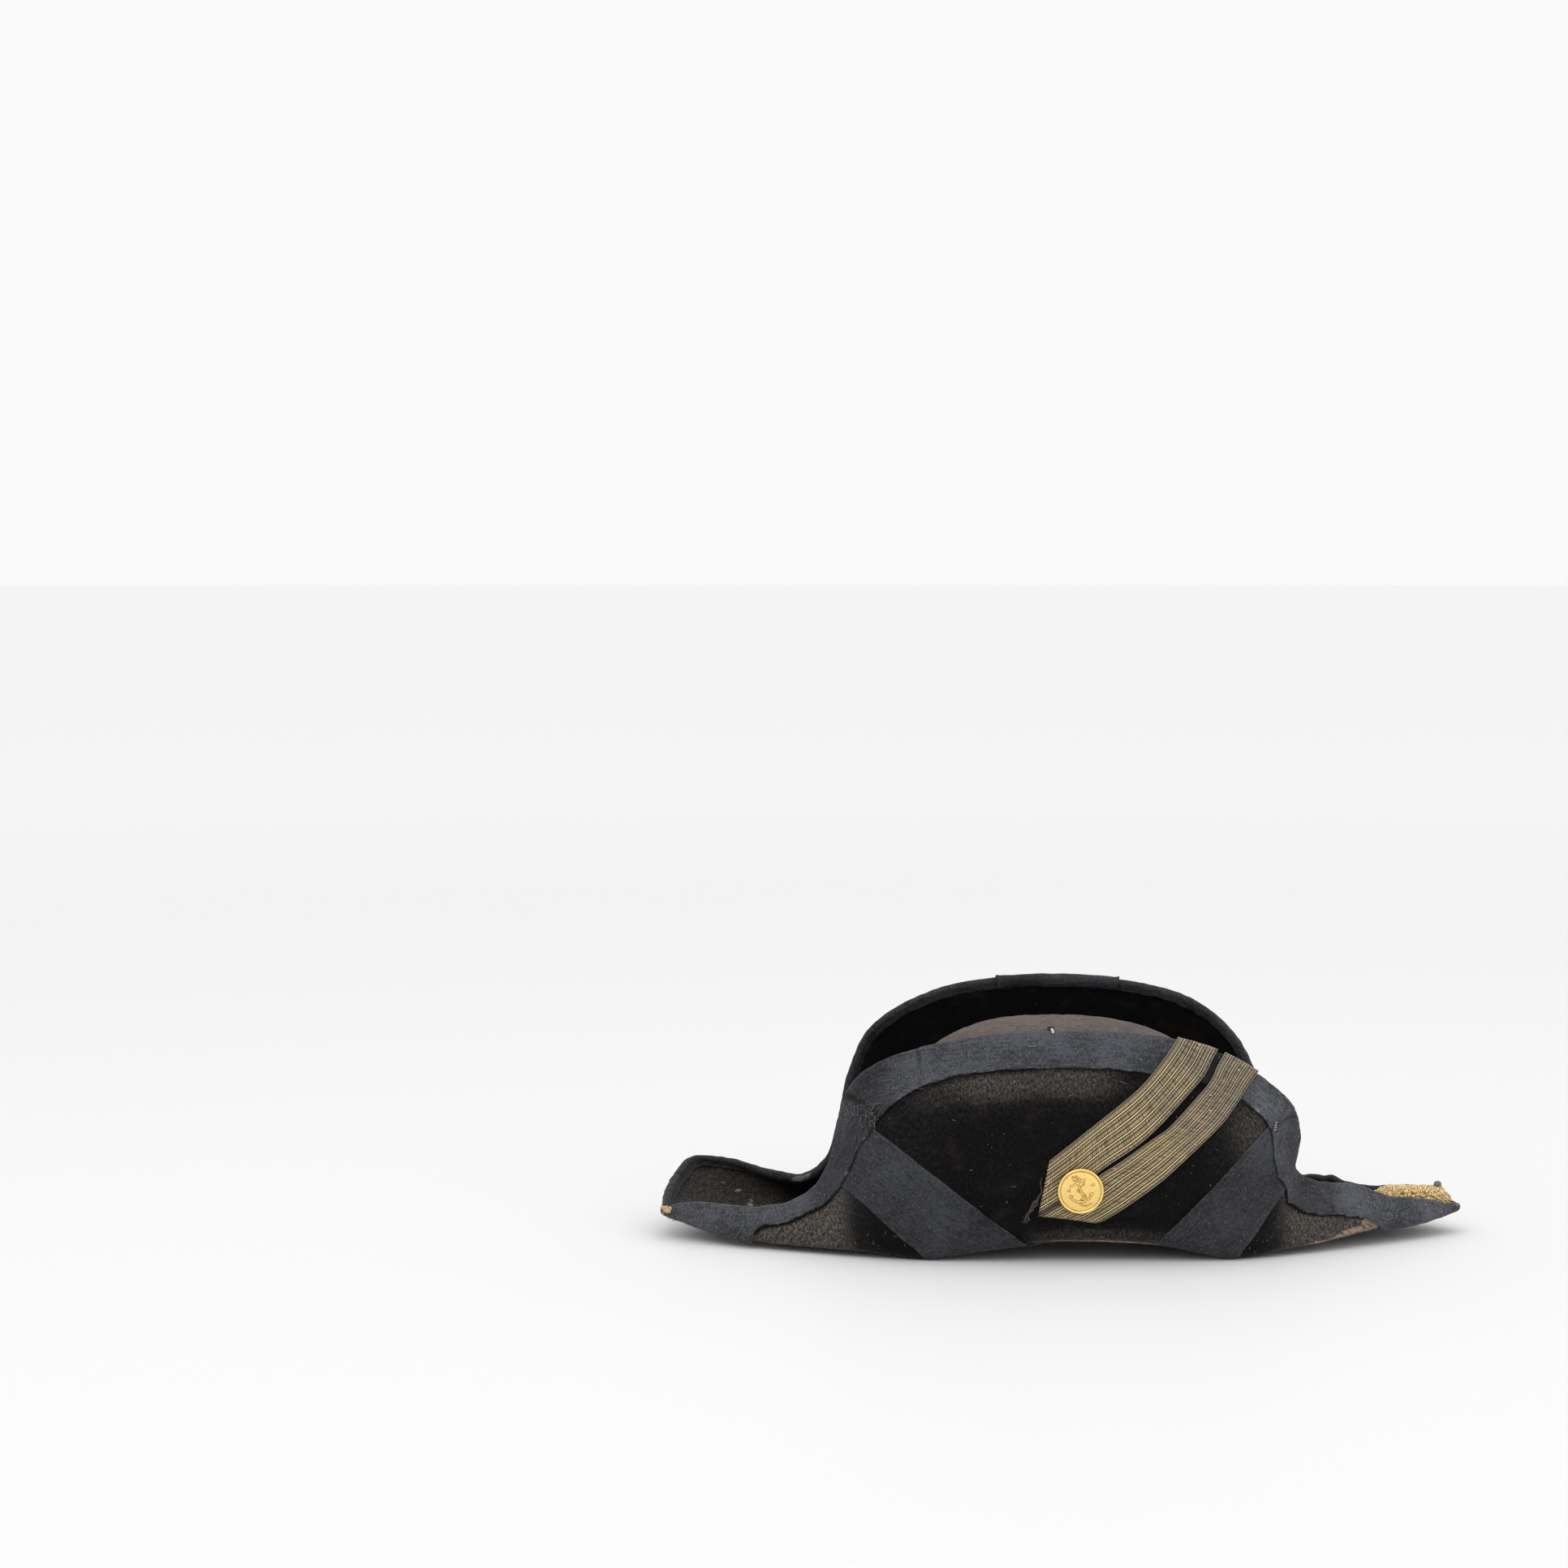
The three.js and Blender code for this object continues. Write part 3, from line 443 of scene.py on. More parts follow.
class Finish:
    """A material with one Principled shader and short calls for the nodes that feed it."""

    def __init__(self, name, **sockets):
        self.material = bpy.data.materials.new(name)
        self.material.use_nodes = True
        self.tree = self.material.node_tree
        self.shader = self.tree.nodes["Principled BSDF"]
        for key, value in sockets.items():
            self.shader.inputs[key.replace("_", " ")].default_value = value

    def put(self, socket, value):
        if isinstance(value, bpy.types.NodeSocket):
            self.tree.links.new(value, socket)
        elif value is not None:
            socket.default_value = value

    def node(self, kind, inputs=(), **settings):
        made = self.tree.nodes.new("ShaderNode" + kind)
        for key, value in settings.items():
            setattr(made, key, value)
        for key, value in dict(inputs).items():
            self.put(made.inputs[key], value)
        return made

    def field(self, name, output="Vector"):
        return self.node("Attribute", attribute_name=name, attribute_type="GEOMETRY").outputs[output]

    def place(self):
        return self.node("TexCoord").outputs["Object"]

    def stretched(self, vector, scale):
        return self.node("Mapping", {"Vector": vector, "Scale": scale}).outputs["Vector"]

    def math(self, operation, a, b=0.5, c=0.5):
        return self.node("Math", {0: a, 1: b, 2: c}, operation=operation).outputs[0]

    def times(self, a, b):
        return self.math("MULTIPLY", a, b)

    def times_plus(self, a, share, b):
        return self.math("MULTIPLY_ADD", a, share, b)

    def wave(self, length, pitch):
        """Even waves along a length, with the pitch in millimetres."""
        return self.math("SINE", self.times(length, 2 * math.pi / (pitch * MM)))

    def noise(self, vector, scale, detail=3.0, roughness=0.6):
        given = {"Vector": vector, "Scale": scale, "Detail": detail, "Roughness": roughness}
        return self.node("TexNoise", given).outputs["Fac"]

    def band(self, value, low, high, start=0.0, end=1.0):
        """A value eased from start to end as it goes from low to high."""
        made = self.node("MapRange", {"Value": value, "From Min": low, "From Max": high, "To Min": start,
                                      "To Max": end}, interpolation_type="SMOOTHSTEP")
        return made.outputs["Result"]

    def blend(self, factor, a, b):
        made = self.node("Mix", data_type="RGBA", blend_type="MIX")
        for key, value in ((0, factor), (6, a), (7, b)):
            self.put(made.inputs[key], value)
        return made.outputs[2]

    def tone(self, mask, low, high, colour, dark, light):
        """One colour at two strengths, from the first to the second as a mask goes from low to high."""
        return self.blend(self.band(mask, low, high), rgba(colour, dark), rgba(colour, light))

    def over(self, base, mask, low, high, most, colour, strength=1.0):
        """The base, covered by up to some share of a colour as a mask goes from low to high."""
        return self.blend(self.band(mask, low, high, 0.0, most), base, rgba(colour, strength))

    def split(self, vector):
        made = self.node("SeparateXYZ", {0: vector})
        return [made.outputs[k] for k in range(3)]

    def flecks(self, vector, pitch, share, size):
        """A mask of small scattered flecks, from 0 to 1."""
        cell = self.node("TexVoronoi", {"Vector": vector, "Scale": 1 / pitch}, feature="F1")
        chosen = self.band(self.split(cell.outputs["Color"])[0], 1 - share, 1 - share + 0.01)
        near = self.band(cell.outputs["Distance"], size, size * 0.5)
        return self.math("MULTIPLY", chosen, near)

    def finish(self, colour, roughness=None, height=None, depth=0.2, strength=0.6):
        self.put(self.shader.inputs["Base Color"], colour)
        self.put(self.shader.inputs["Roughness"], roughness)
        if height is not None:
            bump = self.node("Bump", {"Height": height, "Distance": depth * MM, "Strength": strength})
            self.put(self.shader.inputs["Normal"], bump.outputs["Normal"])
        return self.material


def colours():
    return bpy.context.scene.bicorne_colours


def sizes():
    return bpy.context.scene.bicorne_sizes


def rgba(value, factor=1.0):
    return (value[0] * factor, value[1] * factor, value[2] * factor, 1.0)


@functools.cache
def plush_finish():
    """Plush with a short nap: near black where full, paler where rubbing and dusting have lightened it and in
    painted light, darker in painted shade, and worn through in places.
    """
    c = colours()
    f = Finish("plush", Sheen_Weight=0.06, Sheen_Roughness=0.4, Specular_IOR_Level=0.1)
    where = f.place()
    nap = f.stretched(f.field("nap"), (1.0, 0.45, 1.0))
    hairs = f.noise(nap, 1500.0, 3.0, 0.8)
    coarse = f.noise(f.stretched(f.field("nap"), (1.0, 0.55, 1.0)), 700.0, 5.0, 0.85)
    clouds = f.noise(where, 34.0, 3.0, 0.55)
    strand = f.times_plus(hairs, 0.45, f.times(coarse, 0.55))
    mark = f.band(strand, 0.44, 0.60)
    # The dust field turns the nap pale: real dusting and brushing, and painted light on the peaks.
    rubbed_and_lit = f.times_plus(clouds, 0.55, f.math("SUBTRACT", f.field("dust", "Fac"), 0.26))
    full = f.blend(mark, rgba(c.nap_dark, 0.25), rgba(c.nap_dark, 3.6))
    pale = f.blend(mark, rgba(c.nap_light, 0.28), rgba(c.nap_light, 1.9))
    base = f.blend(f.band(rubbed_and_lit, 0.0, 1.0), full, pale)
    # Below 0 the dust field lays painted shade over the plush.
    base = f.over(base, f.field("dust", "Fac"), 0.0, -0.5, 0.85, c.nap_dark, 0.3)
    base = f.over(base, f.noise(where, 75.0, 2.0), 0.5, 0.8, 0.2, c.worn, 0.16)
    streaks = f.noise(f.stretched(f.field("nap"), (0.25, 1.0, 1.0)), 620.0, 4.0, 0.75)
    thin = f.math("ADD", f.field("worn", "Fac"), f.times_plus(streaks, 1.3, -0.65))
    ground = f.tone(streaks, 0.35, 0.62, c.worn, 0.3, 1.15)
    base = f.blend(f.band(thin, 0.34, 0.62), base, ground)
    lint = f.flecks(where, 3.6 * MM, 0.10, 0.09)
    base = f.blend(f.times(lint, 0.5), base, rgba(c.lint, 0.5))
    height = f.times_plus(hairs, 0.7, f.times(coarse, 0.7))
    return f.finish(base, 0.9, height, 0.9, 0.75)


@functools.cache
def crown_finish():
    """Grey-brown felt with short pale and dark hairs that lie along the hat."""
    c = colours()
    f = Finish("crown_felt", Sheen_Weight=0.06, Sheen_Roughness=0.5, Specular_IOR_Level=0.12)
    where = f.place()
    hairs = f.noise(f.stretched(where, (0.35, 1.0, 1.0)), 900.0, 5.0, 0.85)
    clouds = f.noise(where, 40.0, 4.0, 0.6)
    tone = f.times_plus(hairs, 0.9, f.times(clouds, 0.2))
    base = f.tone(tone, 0.44, 0.66, c.crown, 0.42, 1.12)
    base = f.over(base, f.noise(where, 60.0, 4.0), 0.52, 0.72, 0.35, c.crown, 0.3)
    lint = f.flecks(where, 4.0 * MM, 0.14, 0.09)
    base = f.blend(f.times(lint, 0.6), base, rgba(c.lint))
    return f.finish(base, 0.92, hairs, 0.7, 0.75)


@functools.cache
def ribbon_finish():
    """Blue-black silk ribbon with fine ribs across it, paler where dusted and in painted light, darker in
    painted shade, and worn to fluff in places.
    """
    c = colours()
    f = Finish("ribbon", Sheen_Weight=0.05, Sheen_Roughness=0.4, Specular_IOR_Level=0.25)
    where = f.place()
    along, across, _ = f.split(f.field("weave"))
    rib = f.wave(along, 0.85)
    warp = f.wave(across, 0.85)
    cloth = f.times(rib, warp)
    slub = f.noise(f.stretched(f.field("weave"), (1.0, 0.2, 1.0)), 1500.0, 3.0, 0.75)
    warps = f.noise(f.stretched(f.field("weave"), (0.1, 1.0, 1.0)), 900.0, 3.0, 0.75)
    grain = f.noise(where, 700.0, 5.0, 0.9)
    clouds = f.noise(where, 34.0, 4.0, 0.6)
    tone = f.times_plus(slub, 0.2, f.times(warps, 0.2))
    tone = f.times_plus(grain, 0.45, tone)
    tone = f.times_plus(cloth, 0.02, f.times_plus(clouds, 0.25, tone))
    thread = f.band(tone, 0.48, 0.62)
    dull = f.blend(thread, rgba(c.ribbon, 0.12), rgba(c.ribbon, 1.0))
    dusty_and_lit = f.blend(thread, rgba(c.ribbon, 0.55), rgba(c.ribbon, 3.1))
    base = f.blend(f.field("dust", "Fac"), dull, dusty_and_lit)
    # Below 0 the dust field lays painted shade over the ribbon.
    base = f.over(base, f.field("dust", "Fac"), 0.0, -0.5, 0.9, c.ribbon, 0.08)
    fray = f.field("worn", "Fac")
    fuzz = f.noise(f.stretched(f.field("weave"), (0.2, 1.0, 1.0)), 1500.0, 4.0, 0.8)
    base = f.over(base, f.times(fray, fuzz), 0.30, 0.5, 0.75, c.fluff)
    lint = f.math("MAXIMUM", f.flecks(where, 1.7 * MM, 0.2, 0.22), f.flecks(where, 5.5 * MM, 0.2, 0.07))
    base = f.blend(f.times(lint, 0.55), base, rgba(c.lint, 0.4))
    height = f.times_plus(cloth, 0.3, f.times_plus(grain, 0.5, f.times(fray, fuzz)))
    return f.finish(base, f.band(tone, 0.4, 0.8, 0.62, 0.85), height, 0.22, 0.7)


LACE_REPEAT = 4.8
LACE_MARGIN = {"selvedge": 0.28, "strip": 1.32}
# One repeat across the lace: how far each thread runs, how high it stands, and what it is.
LACE_THREADS = [
    (1.5, 0.1, "flat"), (2.05, 0.0, "dark"), (2.55, 0.14, "bead"), (3.1, 0.0, "dark"), (4.25, 0.1, "flat"),
    (4.8, 0.0, "dark"),
]
LACE_KINDS = {"flat": (1, 0, 0, 1), "dark": (0, 0, 0, 1), "bead": (0, 0, 1, 1)}


def lace_height(across, width):
    """How high the threads of the lace stand, by the distance across a band in millimetres."""
    phase = np.mod(across - LACE_MARGIN["strip"], LACE_REPEAT)
    height = np.zeros_like(phase)
    start = 0.0
    for end, rise, _ in LACE_THREADS:
        inside = (phase >= start) & (phase < end)
        share = (phase - start) / (end - start)
        height = np.where(inside, rise * np.sqrt(np.clip(np.sin(np.pi * share), 0, 1)), height)
        start = end
    edge = LACE_MARGIN["selvedge"]
    margin = np.minimum(across, width - across)
    selvedge = 0.2 * np.sqrt(np.clip(1 - ((margin - edge / 2) / (edge / 2)) ** 2, 0, 1))
    height = np.where((across > edge) & (across < LACE_MARGIN["strip"]), 0.1, height)
    return np.where(margin < edge, selvedge, height)


@functools.cache
def lace_finish():
    """Dull gold lace: flat gold threads and rows of beads between fine dark lines, greyer towards the top."""
    c = colours()
    f = Finish("gold_lace", Specular_IOR_Level=0.5, Metallic=0.35)
    along, across, band = f.split(f.field("weave"))
    start = (10 * LACE_REPEAT - LACE_MARGIN["strip"]) * MM
    phase = f.math("MODULO", f.math("ADD", across, start), LACE_REPEAT * MM)
    phase = f.math("DIVIDE", phase, LACE_REPEAT * MM)
    kinds = f.node("ValToRGB", {0: phase})
    kinds.color_ramp.interpolation = "CONSTANT"
    start = 0.0
    for n, (end, _, kind) in enumerate(LACE_THREADS):
        stop = kinds.color_ramp.elements[n] if n < 2 else kinds.color_ramp.elements.new(start)
        stop.position, stop.color = start, LACE_KINDS[kind]
        start = end / LACE_REPEAT
    flat, _, bead = f.split(kinds.outputs["Color"])
    lane = f.math("FLOOR", f.math("DIVIDE", across, LACE_REPEAT * MM))
    spot = f.node("CombineXYZ", {0: along, 1: f.times(lane, 0.013), 2: band}).outputs[0]
    picks = f.noise(spot, 1100.0, 2.0, 0.8)
    blocks = f.noise(spot, 260.0, 3.0, 0.7)
    uneven = f.times(f.noise(spot, 200.0, 2.0), 0.7 * MM)
    weft = f.wave(f.math("ADD", along, uneven), 1.25)
    beads = f.wave(along, 0.85)
    clouds = f.band(f.noise(f.place(), 45.0, 3.0), 0.35, 0.75, -0.2, 0.35)
    tarnish = f.math("ADD", f.field("worn", "Fac"), clouds)
    gold = f.tone(picks, 0.36, 0.64, c.lace, 0.55, 1.35)
    gold = f.over(gold, blocks, 0.5, 0.7, 0.35, c.lace_bright, 0.8)
    beaded = f.tone(beads, -0.25, 0.25, c.lace_bright, 0.9, 1.6)
    colour = f.blend(flat, rgba(c.lace_dark, 0.45), gold)
    colour = f.blend(bead, colour, beaded)
    grey = f.tone(picks, 0.36, 0.66, c.lace_grey, 0.55, 1.35)
    lit = f.math("MAXIMUM", flat, f.times(bead, 0.7))
    colour = f.blend(f.times(f.band(tarnish, 0.05, 1.0, 0.0, 0.75), lit), colour, grey)
    ribs = f.times(flat, f.band(weft, 0.0, -0.7, 0.0, 0.5))
    colour = f.blend(ribs, colour, rgba(c.lace_dark, 1.2))
    side = f.field("selvedge", "Fac")
    strip = f.blend(f.band(weft, 0.2, -0.6), rgba(c.lace, 0.5), rgba(c.lace_dark, 1.0))
    colour = f.blend(f.band(side, 0.5, 0.6), colour, strip)
    colour = f.blend(f.band(side, 1.5, 1.6), colour, rgba(c.lace_grey, 1.35))
    red = f.field("rub", "Fac")
    colour = f.blend(f.times(red, f.band(picks, 0.3, 0.7, 0.2, 0.9)), colour, rgba(c.worn, 1.3))
    colour = f.blend(f.field("shade", "Fac"), colour, rgba(c.lace_dark, 0.5))
    stray = f.flecks(f.stretched(f.field("weave"), (1.0, 0.2, 1.0)), 1.6 * MM, 0.1, 0.16)
    colour = f.blend(f.times(stray, 0.8), colour, rgba(c.lace_bright, 1.7))
    height = f.times_plus(weft, 0.35, f.times_plus(f.times(bead, beads), 0.6, picks))
    return f.finish(colour, f.band(picks, 0.3, 0.7, 0.62, 0.42), height, 0.1, 0.7)


@functools.cache
def gilt_finish():
    """Bright stamped gilt, satin in the ground, a little brown in the hollows, and browner where painted
    shade lies beside the stamping and on the rim's outer edge.
    """
    c = colours()
    f = Finish("gilt", Metallic=1.0, Coat_Weight=0.15, Coat_Roughness=0.15)
    where = f.place()
    hollow = f.field("hollow", "Fac")
    spots = f.noise(where, 900.0, 4.0, 0.7)
    # The hollow field holds grime and painted shade.
    dirt_and_shade = f.math("ADD", hollow, f.times_plus(spots, 0.8, -0.4))
    base = f.blend(f.band(dirt_and_shade, 0.3, 0.85, 0.0, 0.9), rgba(c.gilt), rgba(c.gilt_dull))
    base = f.over(base, f.noise(where, 350.0, 3.0), 0.5, 0.75, 0.25, c.gilt, 0.75)
    rough = f.band(f.noise(where, 1500.0, 3.0), 0.3, 0.7, 0.24, 0.36)
    return f.finish(base, rough, spots, 0.03, 0.5)


BULLION_COIL = 1.45


@functools.cache
def bullion_finish():
    """Fine gilt wire wound into cords, tarnished in the grooves."""
    c = colours()
    f = Finish("bullion", Metallic=0.4, Specular_IOR_Level=0.5)
    where = f.place()
    run, turn, _ = f.split(f.field("weave"))
    coil = f.math("SINE", f.math("SUBTRACT", f.times(run, 2 * math.pi / (BULLION_COIL * MM)), turn))
    wire = f.math("SINE", f.times_plus(run, 2 * math.pi / (0.3 * MM), turn))
    patch = f.noise(where, 320.0, 3.0, 0.7)
    grain = f.noise(where, 1100.0, 3.0, 0.8)
    base = f.tone(grain, 0.4, 0.6, c.bullion, 0.55, 1.7)
    base = f.over(base, patch, 0.55, 0.75, 0.35, c.worn, 0.9)
    base = f.over(base, coil, -0.45, -0.95, 0.75, c.bullion, 0.14)
    base = f.over(base, wire, -0.2, -0.9, 0.25, c.bullion, 0.25)
    return f.finish(base, f.band(grain, 0.3, 0.7, 0.5, 0.36), wire, 0.08, 0.8)


# Spun threads: the colour of each, how strong it is, and how dark its hollows are.
THREAD_LOOKS = {
    "pale_thread": ("lint", 1.0, 0.6),
    "dark_thread": ("ribbon", 1.0, 0.6),
    "dark_brown_thread": ("worn", 0.3, 0.1),
    "fluff_thread": ("fluff", 1.0, 0.4),
    "tarnished_thread": ("lace_grey", 1.0, 0.5),
    "bullion_core": ("bullion", 0.75, 0.45),
}


@functools.cache
def thread_finish(name):
    """Spun thread with a twisted grain."""
    key, strength, hollow = THREAD_LOOKS[name]
    colour = rgba(getattr(colours(), key), strength)
    f = Finish(name, Sheen_Weight=0.2, Specular_IOR_Level=0.2)
    grain = f.noise(f.place(), 2200.0, 3.0, 0.7)
    return f.finish(f.tone(grain, 0.3, 0.7, colour, hollow, 1.2), 0.85, grain, 0.1, 0.6)


# ---------------------------------------------------------------- brim
def oval(x, grow):
    """Half the width of the head opening at some x, or 0 beyond its ends."""
    share = (x - CROWN["x"]) / (CROWN["length"] / 2 + grow)
    return (CROWN["width"] / 2 + grow) * np.sqrt(np.clip(1 - share**2, 0, None))


def hole_depth(flap, u):
    """The depth where each section meets the head opening, or the keel, and whether it meets the opening."""
    depths = np.arange(flap.points.shape[1]) * flap.STEP
    limit = flap.row(flap.keel_depth, u)
    fold = flap.row(flap.fold_depth, u)
    out = limit.copy()
    for i, share in enumerate(u):
        inside = (depths > fold[i]) & (depths < limit[i])
        if inside.sum() < 3:
            continue
        p = flap.look(flap.points, np.full(inside.sum(), share), depths[inside])
        gap = np.abs(p[:, 1]) - oval(p[:, 0], HOLE_GAP)
        if gap[-1] < 0:
            out[i] = np.interp(0, gap[::-1], depths[inside][::-1])
    return out, out < limit - 1e-6


# Rubbed places low on the right side: a middle, half sizes, and how bare they are.
WORN_SPOTS = table("x height width tall amount", [
    [-150, -3.0, 26, 1.6, 0.7], [-112, -3.4, 36, 1.5, 0.7], [18, -2.2, 34, 1.5, 0.8],
    [20, -0.5, 38, 4.0, 0.3], [112, -2.6, 24, 1.8, 0.45], [140, -1.2, 20, 2.6, 0.6],
    [152, 0.5, 14, 3.4, 0.66], [163, 4.0, 9, 4.2, 0.95], [169, 6.0, 6, 3.6, 1.0],
])
# Bare places on the inner face of the left flap, beside the rear peak.
INNER_SPOTS = table("x y z size", [
    [-170.3, 44.6, 13.9, 1.7], [-162.9, 45.5, 8.0, 1.4], [-163.7, 42.8, 6.5, 1.6], [-178.3, 41.7, 18.8, 1.1],
])
INNER_SPOT_SHAPE = [1.5, 2.0, 0.75]
BRIM_SECTIONS = 330
BRIM_COLUMNS = [34, 12, 13]  # down the wall, round the fold, and in to the opening


def brim_wear(x, height):
    """How far the plush is worn through, by the place along the hat and the height above the fold."""
    worn = np.zeros_like(x)
    for cx, h, w, t, amount in zip(*WORN_SPOTS.values()):
        reach = np.sqrt(((x - cx) / w) ** 2 + ((height - h) / t) ** 2)
        worn = np.maximum(worn, amount * smooth(1.2, 0.5, reach))
    return worn


def inner_wear(points):
    """How far the plush is worn through on the brim's inner face."""
    worn = np.zeros(points.shape[:2])
    for *middle, size in zip(*INNER_SPOTS.values()):
        away = np.linalg.norm((points - middle) / INNER_SPOT_SHAPE, axis=-1)
        worn = np.maximum(worn, smooth(size, size * 0.4, away))
    return worn


def brim_dust_and_shading(x, height, beyond, near):
    """How pale the outside of the plush is made, where beyond is how far past the binding; below 0 it is
    dark. Paler on the peaks, partly real dusting and partly painted light, with a painted shadow line along
    the binding's lower edge.
    """
    front = smooth(96, 128, x)
    peaks = front + smooth(-96, -122, x)
    wall = 1 - peaks
    under_edge = smooth(34, 4, beyond) * smooth(60, 78, height) * smooth(75, 20, np.abs(x + 20))
    middle = smooth(9, 4, height) * smooth(44, 36, np.abs(x - 19))
    # Paler on the peaks and towards the front, partly real dusting and partly painted light; darker on the
    # walls.
    dust = -0.3 * wall * (1 - under_edge) + 0.6 * middle + 0.9 * peaks + 0.3 * front + 0.7 * under_edge
    dust = dust + 0.75 * smooth(60, 95, x) * smooth(30, 55, height) * wall
    dust = dust + 0.3 * smooth(-50, -90, x) * smooth(30, 60, height) * wall
    dust = mix(0.4, 1.0, near) * dust + 0.5 * smooth(1.5, -2, height)
    # A painted shadow line along the binding's lower edge.
    return dust * (1 - 0.85 * smooth(2.2, 0.2, np.abs(beyond)))


def brim_layer(flap, us, half, relief):
    """One flap's outside and inside faces with each place's measures, and which sections meet the opening."""
    fold = flap.row(flap.fold_depth, us)
    limit, opened = hole_depth(flap, us)
    before, after = np.minimum(6, 0.3 * fold), np.minimum(6, 0.3 * (limit - fold))
    stops = [0 * fold, fold - before, fold + after, limit]
    spans = [mix(a[:, None], b[:, None], steps(n)) for a, b, n in zip(stops, stops[1:], BRIM_COLUMNS)]
    depth = np.concatenate([*spans, limit[:, None]], 1)
    u = np.broadcast_to(us[:, None], depth.shape)
    spot = flap.look(flap.points, u, depth)
    slow = 0.45 * ripple(spot, 46, 5) + 0.2 * ripple(spot, 17, 6)
    fine = relief * (0.6 * ripple(spot, 3.1, 7) + 0.5 * ripple(spot, 1.7, 8))
    easing = smooth(0, 12, depth) * smooth(0, 0.05, np.minimum(u, 1 - u))
    rest = smooth(2, 7, spot[..., 2])
    rounding = 0.55 * (1 - smooth(0, 1.2, depth))
    outside = flap.on(u, depth, half - rounding + rest * easing * (slow + fine))
    inside = flap.on(u, depth, -half + rounding + easing * (0.6 * slow + fine))
    low = np.broadcast_to(lower_edge(flap.side, us)[:, None], depth.shape)
    run = flap.row(flap.edge_length, u)
    return dict(outside=outside, inside=inside, depth=depth, height=fold[:, None] - depth, run=run,
                x=spot[..., 0], low=low), opened


def brim_faces(rows, columns, opened):
    """Faces of both flaps, joined along the keel except round the head opening, and closed at every rim."""
    width, count = 2 * columns, rows * 2 * columns
    top = grid_faces(rows, width)
    top = top[(top[:, 0] % width) != columns - 1]
    faces = [top, top[:, ::-1] + count]
    i = np.arange(rows - 1)
    for j in (0, width - 1, columns - 1, columns):
        here = i * width + j
        rim = np.stack([here, here + width, here + width + count, here + count], 1)
        if j in (columns - 1, columns):
            rim = rim[opened[:-1] | opened[1:]]
        faces.append(rim)
    j = np.arange(width - 1)
    j = j[j != columns - 1]
    for base in (0, (rows - 1) * width):
        faces.append(np.stack([base + j, base + j + 1, base + j + 1 + count, base + j + count], 1))
    return np.concatenate(faces)


def build_brim():
    half, relief = sizes().felt_wall / MM / 2, sizes().plush_relief / MM
    angle = np.linspace(0, np.pi, 81)
    hole_x = CROWN["x"] + (CROWN["length"] / 2 + HOLE_GAP) * np.cos(angle)
    deepest = NEAR.points.shape[1] - 1
    keel_column = np.minimum((NEAR.keel_depth / NEAR.STEP).astype(int), deepest)
    keel_x = NEAR.points[np.arange(NEAR.ROWS), keel_column, 0]
    even = np.linspace(0, 1, BRIM_SECTIONS)
    us = np.unique(np.concatenate([even, np.interp(hole_x, keel_x, NEAR.us)]).round(6))
    left, _ = brim_layer(FAR, us, half, relief)
    right, opened = brim_layer(NEAR, us, half, relief)
    for skin in ("outside", "inside"):
        joint = (right[skin][:, -1] + left[skin][:, -1]) / 2
        for layer in (right, left):
            layer[skin][:, -1] = np.where(opened[:, None], layer[skin][:, -1], joint)
    both = {key: np.concatenate([right[key], left[key][:, ::-1]], 1) for key in right}
    x, height, depth, run = (both[key] for key in ("x", "height", "depth", "run"))
    columns = right["depth"].shape[1]
    near = np.repeat([1.0, 0.0], columns)[None, :]
    worn_out = brim_wear(x, height) * (0.35 + 0.65 * near)
    dust_and_shading_out = brim_dust_and_shading(x, height, depth - both["low"], near)
    # Painted shade on the inner faces of the flaps, rising to painted light on the trough's floor by the rear
    # peak.
    dust_and_shading_in = -0.55 + 1.15 * smooth(-112, -165, x)
    nap = [np.stack([run, depth, np.full_like(run, k)], -1).reshape(-1, 3) * MM for k in (0.0, 300.0)]
    points = np.concatenate([both["outside"].reshape(-1, 3), both["inside"].reshape(-1, 3)])
    return piece(
        "Brim", points, brim_faces(len(us), columns, opened), plush_finish(), "brim", "plush", merge=1e-3,
        nap=np.concatenate(nap), worn=np.concatenate([worn_out.ravel(), inner_wear(both["inside"]).ravel()]),
        dust=np.concatenate([dust_and_shading_out.ravel(), dust_and_shading_in.ravel()]))


# ---------------------------------------------------------------- crown
def floor_height(x, y):
    """The height of the brim's floor beside the head opening."""
    side_y, side_z = ({k: np.interp(x, FOLD["x"], FOLD_LINE[k][:, c]) for k in (RIGHT, LEFT)} for c in (1, 2))
    keel_y = (side_y[RIGHT] + side_y[LEFT]) / 2
    keel_z = (side_z[RIGHT] + side_z[LEFT]) / 2 + KEEL_RISE
    wall_y = np.where(y < 0, side_y[RIGHT], side_y[LEFT])
    wall_z = np.where(y < 0, side_z[RIGHT], side_z[LEFT])
    return mix(keel_z, wall_z, np.clip((y - keel_y) / (wall_y - keel_y), 0, 1))


CROWN_ROWS, CROWN_COLUMNS = 64, 220


def crown_skin(angle, rise, inset):
    """The crown's skin at some inset from its outside."""
    power = CROWN["squareness"]
    shrink = np.power(np.clip(1 - rise**power, 0, 1), 1 / power)
    length, width = CROWN["length"] / 2, CROWN["width"] / 2
    x = mix(CROWN["x"], CROWN["x"] + (length - inset) * np.cos(angle), shrink)
    y = (width - inset) * np.sin(angle) * shrink
    base = floor_height(CROWN["x"] + length * np.cos(angle), width * np.sin(angle))
    z = mix(base - FELT / 2, CROWN["top"] - inset, rise)
    return np.stack(np.broadcast_arrays(x, y, z), -1)


